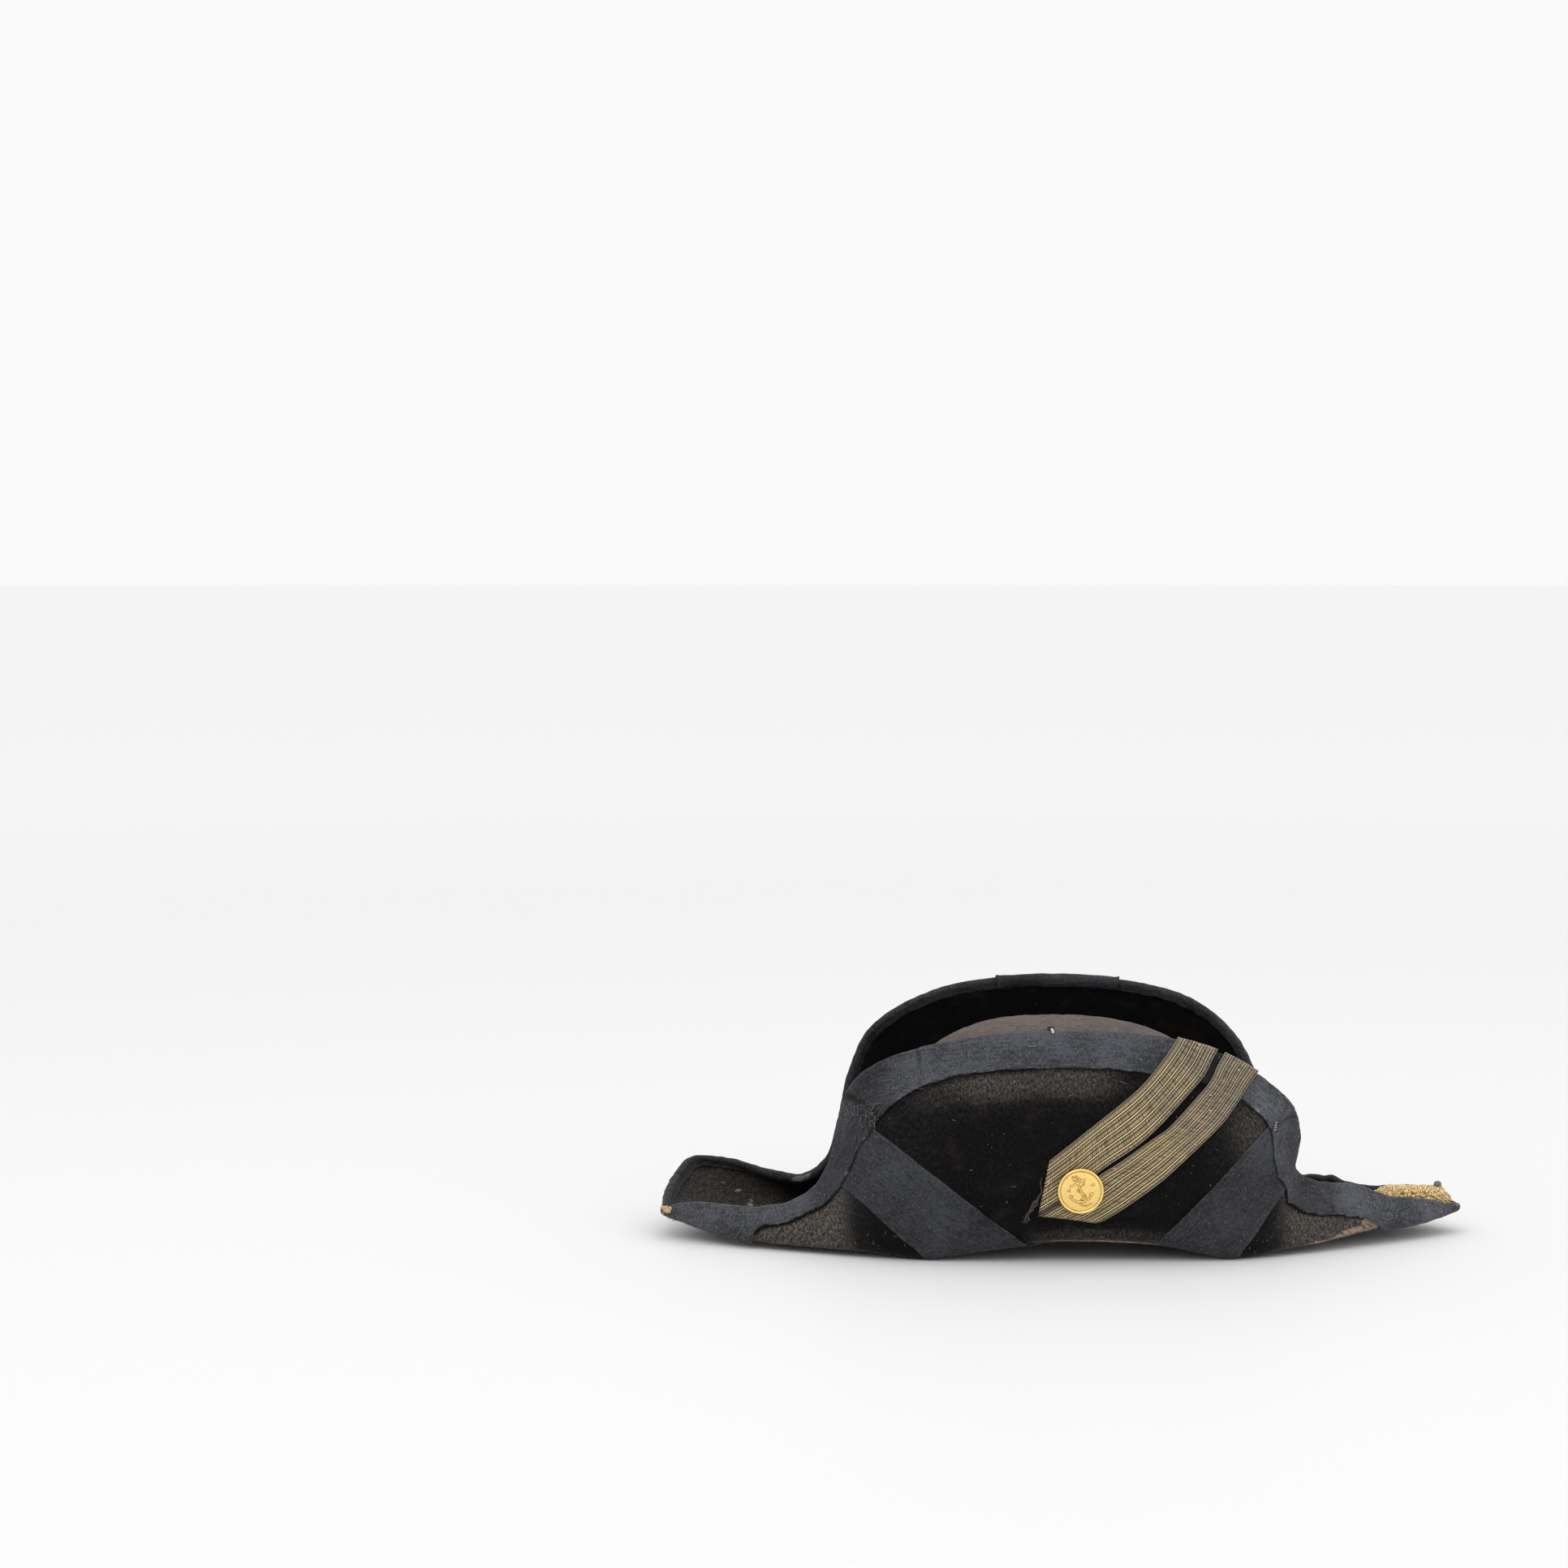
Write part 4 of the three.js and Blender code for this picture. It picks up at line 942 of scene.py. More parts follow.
def build_crown():
    angle = np.linspace(0, 2 * np.pi, CROWN_COLUMNS, endpoint=False)[None, :]
    rise = np.sin(np.linspace(0, np.pi / 2, CROWN_ROWS))[:, None] ** 0.85
    rise[-1] = 1.0
    outer, inner = crown_skin(angle, rise, 0), crown_skin(angle, rise, sizes().felt_wall / MM)
    out = unit(outer - np.array([CROWN["x"], 0, 30]))
    lumps = 0.5 * ripple(outer, 38, 11) + 0.18 * ripple(outer, 9, 12) + 0.08 * ripple(outer, 2.6, 13) - 0.5
    ease = smooth(0.0, 0.15, rise)
    outer = outer + out * (lumps * ease)[..., None]
    inner = inner + out * ((0.5 * ripple(inner, 38, 11) - 0.5) * ease)[..., None]
    points = np.concatenate([outer.reshape(-1, 3), inner.reshape(-1, 3)])
    count = CROWN_ROWS * CROWN_COLUMNS
    skin = grid_faces(CROWN_ROWS, CROWN_COLUMNS, close_columns=True)
    j = np.arange(CROWN_COLUMNS)
    k = (j + 1) % CROWN_COLUMNS
    rim = np.stack([j, k, k + count, j + count], 1)
    faces = np.concatenate([skin, (skin + count)[:, ::-1], rim])
    return piece("Crown", points, faces, crown_finish(), "crown", "crown_felt", merge=1e-3)


# ---------------------------------------------------------------- edge binding
def lower_edge(side, us):
    """The depth of the binding's lower edge on the outside, by share of the hat's length."""
    return np.interp(us, FLAPS[side].us, lower_edge_row(side))


@functools.cache
def lower_edge_row(side):
    flap = FLAPS[side]
    us = flap.us
    u, depth = NEAR.find_z(BINDING_LINE["x"], BINDING_LINE["z"])
    order = np.argsort(u)
    fold = flap.row(flap.fold_depth, us)
    width = np.interp(us, u[order], depth[order])
    if side == LEFT:
        width = np.interp(us, [0, 0.2, 0.3, 0.7, 0.8, 1], [14, 15, 20, 20, 15, 13])
    under = {RIGHT: (0.17, 0.12, 0.905, 0.95), LEFT: (0.06, 0.02, 0.9, 0.96)}[side]
    share = smooth(under[0], under[1], us) + smooth(under[2], under[3], us)
    reach = fold + np.minimum(3.5, 0.5 * (flap.row(flap.keel_depth, us) - fold))
    width = mix(width, reach, share)
    return np.minimum(width, reach)


def inner_edge(side, us):
    """How far the binding reaches down the inside, by share of the hat's length."""
    flap = FLAPS[side]
    widths = {RIGHT: [4.5, 5, 9, 9, 6, 3.5], LEFT: [4.5, 4.5, 5, 3.6, 3, 3]}[side]
    return np.minimum(np.interp(us, [0, 0.1, 0.3, 0.45, 0.8, 1], widths), 0.6 * flap.row(flap.fold_depth, us))


# The slit between the two bands of lace, in x and z, where the ribbon is given painted shade.
SLIT = [(50, 71), (58.5, 79.5), (66, 87.5), (71, 93.3), (74.8, 99), (79.2, 106)]
# Where one length of ribbon starts over another on the right flap, and how each start leans over the binding.
SEAMS = table("x lean rise", [[-112, 14, 0.55], [-75, 1.5, 0.4], [122, -16, 0.45], [137, 2, 0.2]])
MITRE = {"x": 122, "lean": -16}
LEAN_OVER = 22.0
BINDING_ROWS = 560
BINDING_OUT, BINDING_IN, BINDING_BACK = 20, 13, 15  # columns outside, inside, and along the hidden back
BINDING_SKIN = BINDING_OUT - 1 + BINDING_IN
TIP_RINGS = 9


def right_relief(us, w, x, spot):
    """On the right flap: how the ribbon stands up, how its edge rolls, how frayed it is, and its seams, with
    a painted shadow line at the foot of each seam's step.
    """
    step, seam_shadow = np.zeros_like(w), np.zeros_like(w)
    for sx, lean, rise in zip(*SEAMS.values()):
        line = sx + lean * (w / LEAN_OVER)
        step += rise * smooth(line - 0.4, line + 0.4, x) * smooth(line + 16, line + 2, x)
        step -= 0.5 * rise * hump(x, line, 0.5)
        # A painted shadow line at the foot of the step where one length starts over another.
        seam_shadow = np.maximum(seam_shadow, 1.6 * rise * hump(x + 0.4, line, 0.7) * (w > -1))
    mitre = MITRE["x"] + MITRE["lean"] * (w / LEAN_OVER)
    widening = 0.25 * (110 - x)
    fray = smooth(91, 98, x) * smooth(mitre, mitre - 2.5, x) * smooth(4 + widening, 8 + widening, w)
    step += fray * (0.3 * ripple(spot * [0.35, 1.6], 2.6, 41) + 0.2 * ripple(spot, 1.5, 42))
    creases = smooth(114, 122, x) * smooth(150, 138, x) * (w > 0)
    step += creases * 0.22 * ripple(spot * [1, 0.3], 6, 43)
    pleats = smooth(-117, -113, x) * smooth(-102, -105, x) * smooth(7, 11, w) * smooth(21, 18, w)
    step += pleats * 0.26 * np.sin(2 * np.pi * (w - 0.45 * x) / 1.6)
    share = us[:, None]
    roll = 1.1 * smooth(0.17, 0.10, share) * hump(w, 2, 4.0)
    roll = roll + 0.7 * hump(share, 0.172, 0.012) * hump(w, 1, 3.0)
    return step, roll, fray, seam_shadow


def left_relief(us, w, spot):
    """On the left flap, which has no seams and is not frayed: how the ribbon stands up and its edge rolls."""
    share = us[:, None]
    roll = smooth(0.30, 0.22, share) * (1.15 * hump(w, -2.4, 2.2) + 0.5 * hump(w, 1.5, 2.5))
    puckers = 0.3 * ripple(spot * [1, 0.35], 4.2, 45) + 0.12 * ripple(spot * [1, 0.35], 1.9, 46)
    step = smooth(0.13, 0.05, share) * puckers * smooth(9, 4, np.abs(w))
    return step, roll


def binding_dust_and_shading(side, w, x, spot, under, edge_near, fray, seam_shadow):
    """How pale the ribbon is made; below 0 it is darker than it is woven. It carries painted light on the
    near side's outer face, less of it at the corners, painted shade in the slit between the laces and a
    painted shadow along the lower edge.
    """
    # Painted light on the outer face and crest of the near side's ribbon, little on the far side's.
    lit = (0.6 if side == RIGHT else 0.06) * smooth(-1.5, 0.5, w) + 0.08
    # Less painted light at the rear and front corners.
    rear_corner = smooth(-75, -100, x) * smooth(-140, -122, x)
    front_corner = smooth(108, 116, x) * smooth(150, 132, x)
    lit = lit * mix(1, 0.1, rear_corner) * mix(1, 0.3, front_corner)
    if side == RIGHT:
        # More painted light towards the front peak.
        lit = lit + 0.22 * smooth(138, 150, x)
        # Painted shade on the ribbon in the slit between the two bands of lace.
        strokes = [capsule(under[..., 0], under[..., 2], *a, *b) for a, b in zip(SLIT, SLIT[1:])]
        lit = lit - 1.3 * smooth(3.6, 2.4, np.min(strokes, axis=0))
    strands = smooth(0.3, 0.7, ripple(spot * [0.25, 1.6], 2.6, 48))
    lit = lit + 0.32 * fray - 0.8 * fray * strands - seam_shadow
    shadow = 0.25 * edge_near * smooth(0.3, -0.6, ripple(spot * [1, 0], 6, 47))
    return np.clip(lit - shadow, -0.6, 1)


def binding_wear(side, us, w, x, spot, edge_near, fray):
    """How far the ribbon is worn to fluff."""
    wear = 0.6 * fray + 0.35 * smooth(-75, -85, x) * smooth(-128, -110, x) * (w > 0)
    wear = wear + 0.5 * edge_near * smooth(0.2, 0.9, ripple(spot * [1, 0], 11, 44))
    if side == RIGHT:
        mitre = MITRE["x"] + MITRE["lean"] * w / LEAN_OVER
        wear = wear + 0.8 * hump(x, mitre, 0.7) * (x > 100) * smooth(2, 5, w)
    else:
        torn = smooth(-145, -139, x) * smooth(-126, -132, x) * smooth(-4, -1.5, w) * smooth(1.5, 0, w)
        wear = wear + 0.45 * smooth(0.08, 0.03, us)[:, None] * (w < 1) + 0.9 * torn
    return np.clip(wear, 0, 1)


def binding_ring(side, us, thick):
    """Rings of the binding: the skin from its lower edge over the crest to its end inside, then back."""
    flap = FLAPS[side]
    run = flap.row(flap.edge_length, us)
    line = run[:, None] * np.ones((1, 2))
    from_tip = np.minimum(us, 1 - us)
    low = lower_edge(side, us) + 0.4 * ripple(line, 17, 21 + side) * smooth(0.02, 0.06, from_tip)
    low = np.maximum(low + 0.25 * ripple(line, 4.3, 24 + side), 0.6)
    inn = inner_edge(side, us) + 0.5 * ripple(line, 15, 27 + side)
    even = SKIN["binding"] + thick
    quarter = even * np.pi / 2
    outer_w = (low + quarter)[:, None] * (1 - np.linspace(0, 1, BINDING_OUT)[None, :-1] ** 1.15)
    inner_w = -(inn + quarter)[:, None] * np.linspace(0, 1, BINDING_IN)[None, :]
    w = np.concatenate([outer_w, inner_w], 1)
    u = np.broadcast_to(us[:, None], w.shape)
    spot = np.stack([np.broadcast_to(run[:, None], w.shape), w], -1)
    edge_near = smooth(3.2, 0.0, low[:, None] + quarter - w) * (w > 0)
    pucker = 0.12 * ripple(spot * [1, 0.25], 8.5, 31 + side) + 0.08 * ripple(spot, 3.4, 33 + side)
    curl = edge_near * (0.18 + 0.35 * np.clip(ripple(spot * [1, 0], 23, 35 + side), 0, 1))
    x = flap.look(flap.points, u, np.abs(w))[..., 0]
    fray, seam_shadow = np.zeros_like(w), np.zeros_like(w)
    if side == RIGHT:
        step, roll, fray, seam_shadow = right_relief(us, w, x, spot)
    else:
        step, roll = left_relief(us, w, spot)
    tips = smooth(0, 0.03, from_tip)[:, None]
    under = flap.look(flap.points, u, np.maximum(np.abs(w) - quarter, 0))
    lift = mix(even, even + tips * (pucker + curl + step + roll), smooth(1.5, 6, under[..., 2]))
    outer = flap.wrap(u, w, np.maximum(lift, SKIN["binding"] + 0.25), quarter)
    pick = np.unique(np.linspace(0, w.shape[1] - 1, BINDING_BACK).round().astype(int))
    back = SKIN["binding"] + tips * 0.6 * (curl + step)[:, pick].clip(0)
    inner = flap.wrap(u[:, pick], w[:, pick], back, quarter)
    across = there_and_back(w, pick)
    dust = binding_dust_and_shading(side, w, x, spot, under, edge_near, fray, seam_shadow)
    wear = binding_wear(side, us, w, x, spot, edge_near, fray)
    way = run if side == RIGHT else -run
    return dict(ring=np.concatenate([outer, inner[:, ::-1]], 1), across=across,
                run=np.broadcast_to(way[:, None], across.shape), dust=there_and_back(dust, pick),
                worn=there_and_back(wear, pick))


def tip_rings(first, last, keel, forward, thick):
    """Rings that carry the binding round a tip, from the last ring of one side to the first of the other."""
    total = len(first)
    middle = np.empty_like(first)
    for n in range(total):
        if n < BINDING_SKIN:
            lift, k = SKIN["binding"] + thick, n / (BINDING_SKIN - 1)
        else:
            lift, k = SKIN["binding"], 1 - (n - BINDING_SKIN) / max(total - BINDING_SKIN - 1, 1)
        angle = np.pi * np.clip((k - 0.2) / 0.6, 0, 1)
        back = 3.0 * max(0.2 - k, k - 0.8, 0) / 0.2
        drop = np.array([0, 0, -lift * np.cos(angle)])
        middle[n] = keel + forward * (lift * np.sin(angle) * 0.9 - back) + drop
    rings = []
    for k in np.linspace(0, 1, TIP_RINGS + 2)[1:-1]:
        a = (1 - k) * (1 - 2 * k) if k < 0.5 else 0
        b = k * (2 * k - 1) if k > 0.5 else 0
        sharp = first * a + last * b + middle * (1 - a - b)
        push = forward * (1.2 * np.sin(np.pi * k))
        rings.append(mix(bend(first, middle, last, k), sharp, 0.25) + push)
    return rings


def build_binding():
    thick = sizes().ribbon_wall / MM
    us = np.linspace(0, 1, BINDING_ROWS)
    right, left = (binding_ring(side, us, thick) for side in (RIGHT, LEFT))

    def round_tip(a, b, end, u, sign):
        keel = NEAR.look(NEAR.points, np.array([u]), np.array([NEAR.row(NEAR.keel_depth, u)]))[0]
        rings = tip_rings(a["ring"][end], b["ring"][end], keel, np.array([sign, 0, 0.0]), thick)
        return {key: rings if key == "ring" else [a[key][end]] * TIP_RINGS for key in a}
    back = {key: rows[::-1] for key, rows in left.items()}
    lengths = [right, round_tip(right, left, -1, 1.0, 1), back, round_tip(left, right, 0, 0.0, -1)]
    whole = {key: np.concatenate([length[key] for length in lengths]) for key in right}
    points = whole["ring"]
    faces = grid_faces(*points.shape[:2], close_rows=True, close_columns=True)
    weave = np.stack([whole["run"], whole["across"], np.zeros(points.shape[:2])], -1) * MM
    return piece("Edge_binding", points, faces, ribbon_finish(), "edge_binding", "ribbon",
                 weave=weave, dust=whole["dust"], worn=whole["worn"])


OVERLAP = {"from": -27, "to": 41, "sections": 150, "gap": 0.12}


def build_overlap():
    """The second layer of ribbon, where the binding's ends lie over each other on the left flap."""
    thick = sizes().ribbon_wall / MM
    ends = [np.interp(OVERLAP[key], FAR.points[:, 0, 0], FAR.us) for key in ("from", "to")]
    us = np.linspace(*ends, OVERLAP["sections"])
    low, inn = lower_edge(LEFT, us) - 1.5, inner_edge(LEFT, us) - 1.2
    base = SKIN["binding"] + thick + OVERLAP["gap"]
    quarter = (base + thick) * np.pi / 2
    w = np.concatenate([(low + quarter)[:, None] * (1 - steps(17)[None, :]),
                        -(inn + quarter)[:, None] * np.linspace(0, 1, 10)[None, :]], 1)
    u = np.broadcast_to(us[:, None], w.shape)
    spot = np.stack([np.interp(u, FAR.us, FAR.edge_length), w], -1)
    share = np.linspace(0, 1, len(us))[:, None]
    ends_up = 0.5 * smooth(0.04, 0, share) + 0.7 * smooth(0.96, 1, share)
    lift = base + thick + 0.14 * (1 + ripple(spot, 7, 51)) + ends_up
    back = base + 0.1 + ends_up * 0.8
    points, faces, caps = shell(FAR.wrap(u, w, lift, quarter), FAR.wrap(u, w, back, quarter))
    weave = there_and_back(spot)
    weave = np.concatenate([weave, np.full((*weave.shape[:2], 1), 40.0)], -1) * MM
    blank = np.zeros(points.shape[:2])
    return piece("Binding_overlap", points, faces, ribbon_finish(), "binding_overlap", "ribbon", extra=caps,
                 weave=weave, dust=blank + 0.16, worn=blank)


# ---------------------------------------------------------------- slanting ribbons
# Each long edge: x and z at its top, and x and z low on the wall; it then runs on under the fold.
SLANTS = {
    "Front_slant_ribbon": dict(
        node="front_slant_ribbon", seed=100, a=[(107.5, 71), (43.5, 10.3)], b=[(117.5, 41.5), (90.5, 6.6)]),
    "Rear_slant_ribbon": dict(
        node="rear_slant_ribbon", seed=110, a=[(-102.5, 69.5), (-22, 10.7)], b=[(-119, 37), (-71, 2.6)]),
}
SLANT_ROWS, SLANT_COLUMNS = 150, 56
SLANT_END = -13.0  # how far past the fold each ribbon runs
PICOT = 1.15
WEFT = 1.25


def slant_edge(line, down):
    """One long edge of a ribbon, as x and the height above the fold."""
    (x0, z0), (x1, z1) = line
    u, depth = NEAR.find_z(np.array([x0, x1]), np.array([z0, z1]))
    h0, h1 = NEAR.row(NEAR.fold_depth, u) - depth
    slope = (x1 - x0) / (h1 - h0)
    height = mix(h0, SLANT_END, down)
    return np.concatenate([x0 + (height - h0) * slope, height], 1)


def build_slant(name, node, a, b, seed):
    """A silk ribbon that lies slantwise on the right flap and turns under the hat."""
    down = np.linspace(0, 1, SLANT_ROWS)[:, None]
    first, second = slant_edge(a, down), slant_edge(b, down)
    t = np.linspace(0, 1, SLANT_COLUMNS)[None, :, None]
    flat = first[:, None] * (1 - t) + second[:, None] * t
    length = np.linalg.norm(first[-1] - first[0])
    breadth = np.linalg.norm(first[SLANT_ROWS // 2] - second[SLANT_ROWS // 2])
    along, across = np.broadcast_arrays(down * length, t[..., 0] * breadth)
    side_wave = 0.12 * ripple(along[..., None] * [1, 1], 27, seed) + 0.12 * np.sin(2 * np.pi * along / WEFT)
    toward = np.where(across < breadth / 2, -1, 1) * smooth(0.8, 1, np.abs(2 * across / breadth - 1))
    flat = flat + unit(second - first)[:, None] * (side_wave * toward)[..., None]
    u, depth = NEAR.find(flat[..., 0], flat[..., 1])
    spot = np.stack([along, across], -1)
    margin = np.minimum(across, breadth - across)
    picot = 0.13 * smooth(1.2, 0.2, margin) * (1 + np.sin(2 * np.pi * along / PICOT)) / 2
    body = 0.10 * ripple(spot, 21, seed + 2) + 0.06 * ripple(spot, 5, seed + 3)
    on_wall = smooth(6, -2, flat[..., 1]) <= 0.5
    lift = SKIN["ribbon"] + RIBBON_WALL + on_wall * (body + picot + 0.12 * smooth(1.6, 0, margin)).clip(0)
    points, faces, caps = shell(NEAR.on(u, depth, lift), NEAR.on(u, depth, SKIN["ribbon"]))
    weave = [there_and_back(along), there_and_back(across), np.full(points.shape[:2], 90.0 + seed)]
    # A painted shadow line on the ribbon just under the binding's lower edge.
    seam_shadow = smooth(2.0, 0.4, depth - lower_edge(RIGHT, u.ravel()).reshape(u.shape))
    # A little paler higher up and at the edges, less the painted shadow line.
    dust = 0.13 + 0.1 * smooth(30, 60, flat[..., 1]) + 0.2 * smooth(1.5, 0, margin) - 0.9 * seam_shadow
    worn = 0.35 * smooth(1.6, 0, margin) + 0.35 * smooth(5, -1, flat[..., 1])
    return piece(name, points, faces, ribbon_finish(), node, "ribbon", extra=caps,
                 weave=np.stack(weave, -1) * MM, dust=there_and_back(dust), worn=there_and_back(worn))


# ---------------------------------------------------------------- lace loop
# The long edges of the two bands of lace, in x and z, from the bottom to the crest of the flap.
LACE_EDGES = {
    "upper_out": [(-10.2, 53.4), (4.2, 64.5), (32.7, 86.0), (42.3, 94.9), (51.3, 105.4)],
    "upper_in": [(-15.6, 25.6), (0.5, 36.3), (14.2, 47.4), (40.0, 65.0), (68.2, 92.6), (73.8, 101.4)],
    "lower_in": [(-15.6, 25.1), (0.9, 35.6), (15.4, 46.4), (25.2, 52.4), (43.8, 64.9), (51.2, 69.8),
                 (71.8, 90.4), (76.6, 98.6)],
    "lower_out": [(13.4, 21.5), (19.4, 24.0), (49.5, 45.0), (77.5, 69.6), (84.3, 77.5), (90.9, 86.6)],
}
LACE_CREST = {"upper_out": 57.2, "upper_in": 77.2, "lower_in": 81.0, "lower_out": 98.2}
LACE_TAIL = 11.0
LACE_WIDTH = 21.0
LACE_WALL = 0.62
LACE_ROWS = 210
LACE_COLUMNS, LACE_BACK = 141, 10  # columns of the face, and how many of them each one of the back spans
LACE_PLAIN = 0.26  # the relief at which lace_height is used as it is


def lace_edge(key, quarter):
    """One long edge of the lace as distance along the free edge and distance from the crest."""
    x, z = (np.array(v, float) for v in zip(*LACE_EDGES[key]))
    u, depth = NEAR.find_z(x, z)
    run = NEAR.row(NEAR.edge_length, u)
    crest = np.interp(LACE_CREST[key], NEAR.points[:, 0, 0], NEAR.edge_length)
    line = np.stack([run, depth + quarter], 1)
    end = np.array([crest, 0.0])
    way = unit(end - line[-1])
    tail = end + way * (LACE_TAIL + quarter) * np.array([0.55, 1.0]) / max(abs(way[1]), 0.5)
    dense = catmull(np.vstack([line, end, tail]), np.linspace(0, 1, 400))
    reach = running(dense)
    share = np.linspace(0, reach[-1], LACE_ROWS)
    return np.stack([np.interp(share, reach, dense[:, c]) for c in range(2)], 1)


def lace_band(n, first, second):
    """One of the two bands of lace: its points, faces, caps and fields."""
    thick, relief = sizes().ribbon_wall / MM, sizes().lace_relief / MM / LACE_PLAIN
    quarter = (SKIN["binding"] + 0.9) * np.pi / 2
    a, b = lace_edge(first, quarter), lace_edge(second, quarter)
    across = np.linspace(0, LACE_WIDTH, LACE_COLUMNS)[None, :]
    pick = np.arange(0, LACE_COLUMNS, LACE_BACK)
    t = (across / LACE_WIDTH)[..., None]
    flat = a[:, None] * (1 - t) + b[:, None] * t
    along, across = np.broadcast_arrays(running((a + b) / 2)[:, None], across)
    u, w = np.interp(flat[..., 0], NEAR.edge_length, NEAR.us), flat[..., 1]
    step = lower_edge(RIGHT, u.ravel()).reshape(u.shape)
    base = mix(SKIN["lace"], SKIN["binding"] + thick + 0.3, smooth(step + 6.5, step + 0.5, w - quarter))
    spot = np.stack([along, across], -1)
    free = LACE_WIDTH - across if n == 0 else across
    joined = smooth(34, 30, along) * smooth(2.0, 1.0, free)
    margin = np.minimum(across, LACE_WIDTH - across)
    wave = 0.14 * ripple(spot * [1, 0.5], 24, 61 + n) + 0.05 * ripple(spot, 6, 63 + n)
    uneven = 0.4 + 0.6 * np.clip(ripple(spot * [1, 0], 31, 65 + n), 0, 1)
    curl = 0.3 * smooth(2.2, 0, margin) * uneven * (1 - joined)
    ribs = lace_height(across, LACE_WIDTH) * relief * (1 - joined) * (1 - smooth(1.2, 0, along))
    lift = base + LACE_WALL + 0.25 + wave + curl + ribs - smooth(2.0, 0.0, along) * 0.4
    back = NEAR.wrap(u, w, base + 0.12 + 0.5 * curl, quarter)[:, pick]
    ring, faces, caps = shell(NEAR.wrap(u, w, lift, quarter), back, pick)
    kind = np.where(margin < LACE_MARGIN["selvedge"], 2.0, np.where(across < LACE_MARGIN["strip"], 1.0, 0.0))
    worn = smooth(38, 92, along) * 0.5 + 0.3 * smooth(85, 108, along)
    if n == 1:
        worn = worn + 0.3 * smooth(78, 100, along) * smooth(6, 16, across)
    rub = 0.8 * hump(w, 1, 1.6) * smooth(-0.3, 0.7, ripple(spot * [0.3, 1], 9, 67 + n))
    shade = 0.55 * joined + 0.5 * smooth(0.8, 0.0, along)
    flats = dict(selvedge=np.where(joined > 0.5, 0.0, kind), worn=worn, rub=rub, shade=shade)
    fields = {key: there_and_back(value, pick).ravel() for key, value in flats.items()}
    lane = np.full(ring.shape[:2], n * 0.31)
    weave = [there_and_back(along, pick) * MM, there_and_back(across, pick) * MM, lane]
    fields["weave"] = np.stack(weave, -1).reshape(-1, 3)
    return ring.reshape(-1, 3), faces, caps, fields


def build_lace():
    points, faces, caps, fields, count = [], [], [], [], 0
    for n, edges in enumerate((("upper_out", "upper_in"), ("lower_in", "lower_out"))):
        ring, quads, ends, known = lace_band(n, *edges)
        points.append(ring)
        faces.append(quads + count)
        caps += [tuple(v + count for v in cap) for cap in ends]
        fields.append(known)
        count += len(ring)
    fields = {key: np.concatenate([known[key] for known in fields]) for key in fields[0]}
    return piece("Lace_loop", np.concatenate(points), np.concatenate(faces), lace_finish(),
                 "lace_loop", "gold_lace", extra=caps, **fields)


# ---------------------------------------------------------------- button
BUTTON_AT = {"x": 5.7, "z": 38.9}
BUTTON_PROFILE = table("radius rise", [
    [0, 0], [8, 0], [10.4, 0.15], [11.4, 0.6], [11.8, 1.2], [11.8, 1.7], [11.55, 2.15], [11.2, 2.35],
    [10.85, 2.3], [10.55, 2.0], [10.3, 1.75], [10.05, 1.8], [9.85, 2.0], [9.65, 2.02], [9.45, 1.88],
])
ANCHOR = table("fromX fromY toX toY width", [
    [-2.3, 5.6, 2.1, -4.3, 1.0], [-5.2, 2.9, 1.7, 6.3, 1.0], [-5.6, -2.2, -4.4, -4.0, 1.0],
    [-4.4, -4.0, -1.9, -5.4, 1.15], [-1.9, -5.4, 1.6, -5.2, 1.25], [1.6, -5.2, 4.4, -3.3, 1.15],
    [4.4, -3.3, 5.9, -0.7, 1.0], [5.9, -0.7, 4.6, -1.2, 0.9], [-5.6, -2.2, -4.4, -2.3, 0.9],
])
CABLE = table("x y", [
    [-3.2, 7.4], [-0.4, 6.6], [1.6, 4.2], [-0.8, 2.2], [-1.8, 0.4], [1.2, -0.9], [2.6, -2.6], [0.2, -4.0],
    [-0.6, -6.4], [2.6, -7.4], [5.4, -6.2],
])
ANCHOR_RING = {"x": -3.0, "y": 7.1, "radius": 1.45, "width": 0.55}
STARS = table("x y radius", [[-6.2, 0.9, 1.5], [6.0, 4.0, 1.5]])
BUTTON_COLUMNS, BUTTON_FACE_ROWS = 224, 62
BUTTON_FACE = {"radius": 9.3, "edge": 1.85, "dome": 0.75, "reach": 9.6}
BUTTON_LIFT = 2.75  # the back of the button over the middle of the felt


def capsule(x, y, ax, ay, bx, by):
    """The distance to a stroke."""
    dx, dy = bx - ax, by - ay
    k = np.clip(((x - ax) * dx + (y - ay) * dy) / (dx * dx + dy * dy), 0, 1)
    return np.hypot(x - ax - k * dx, y - ay - k * dy)


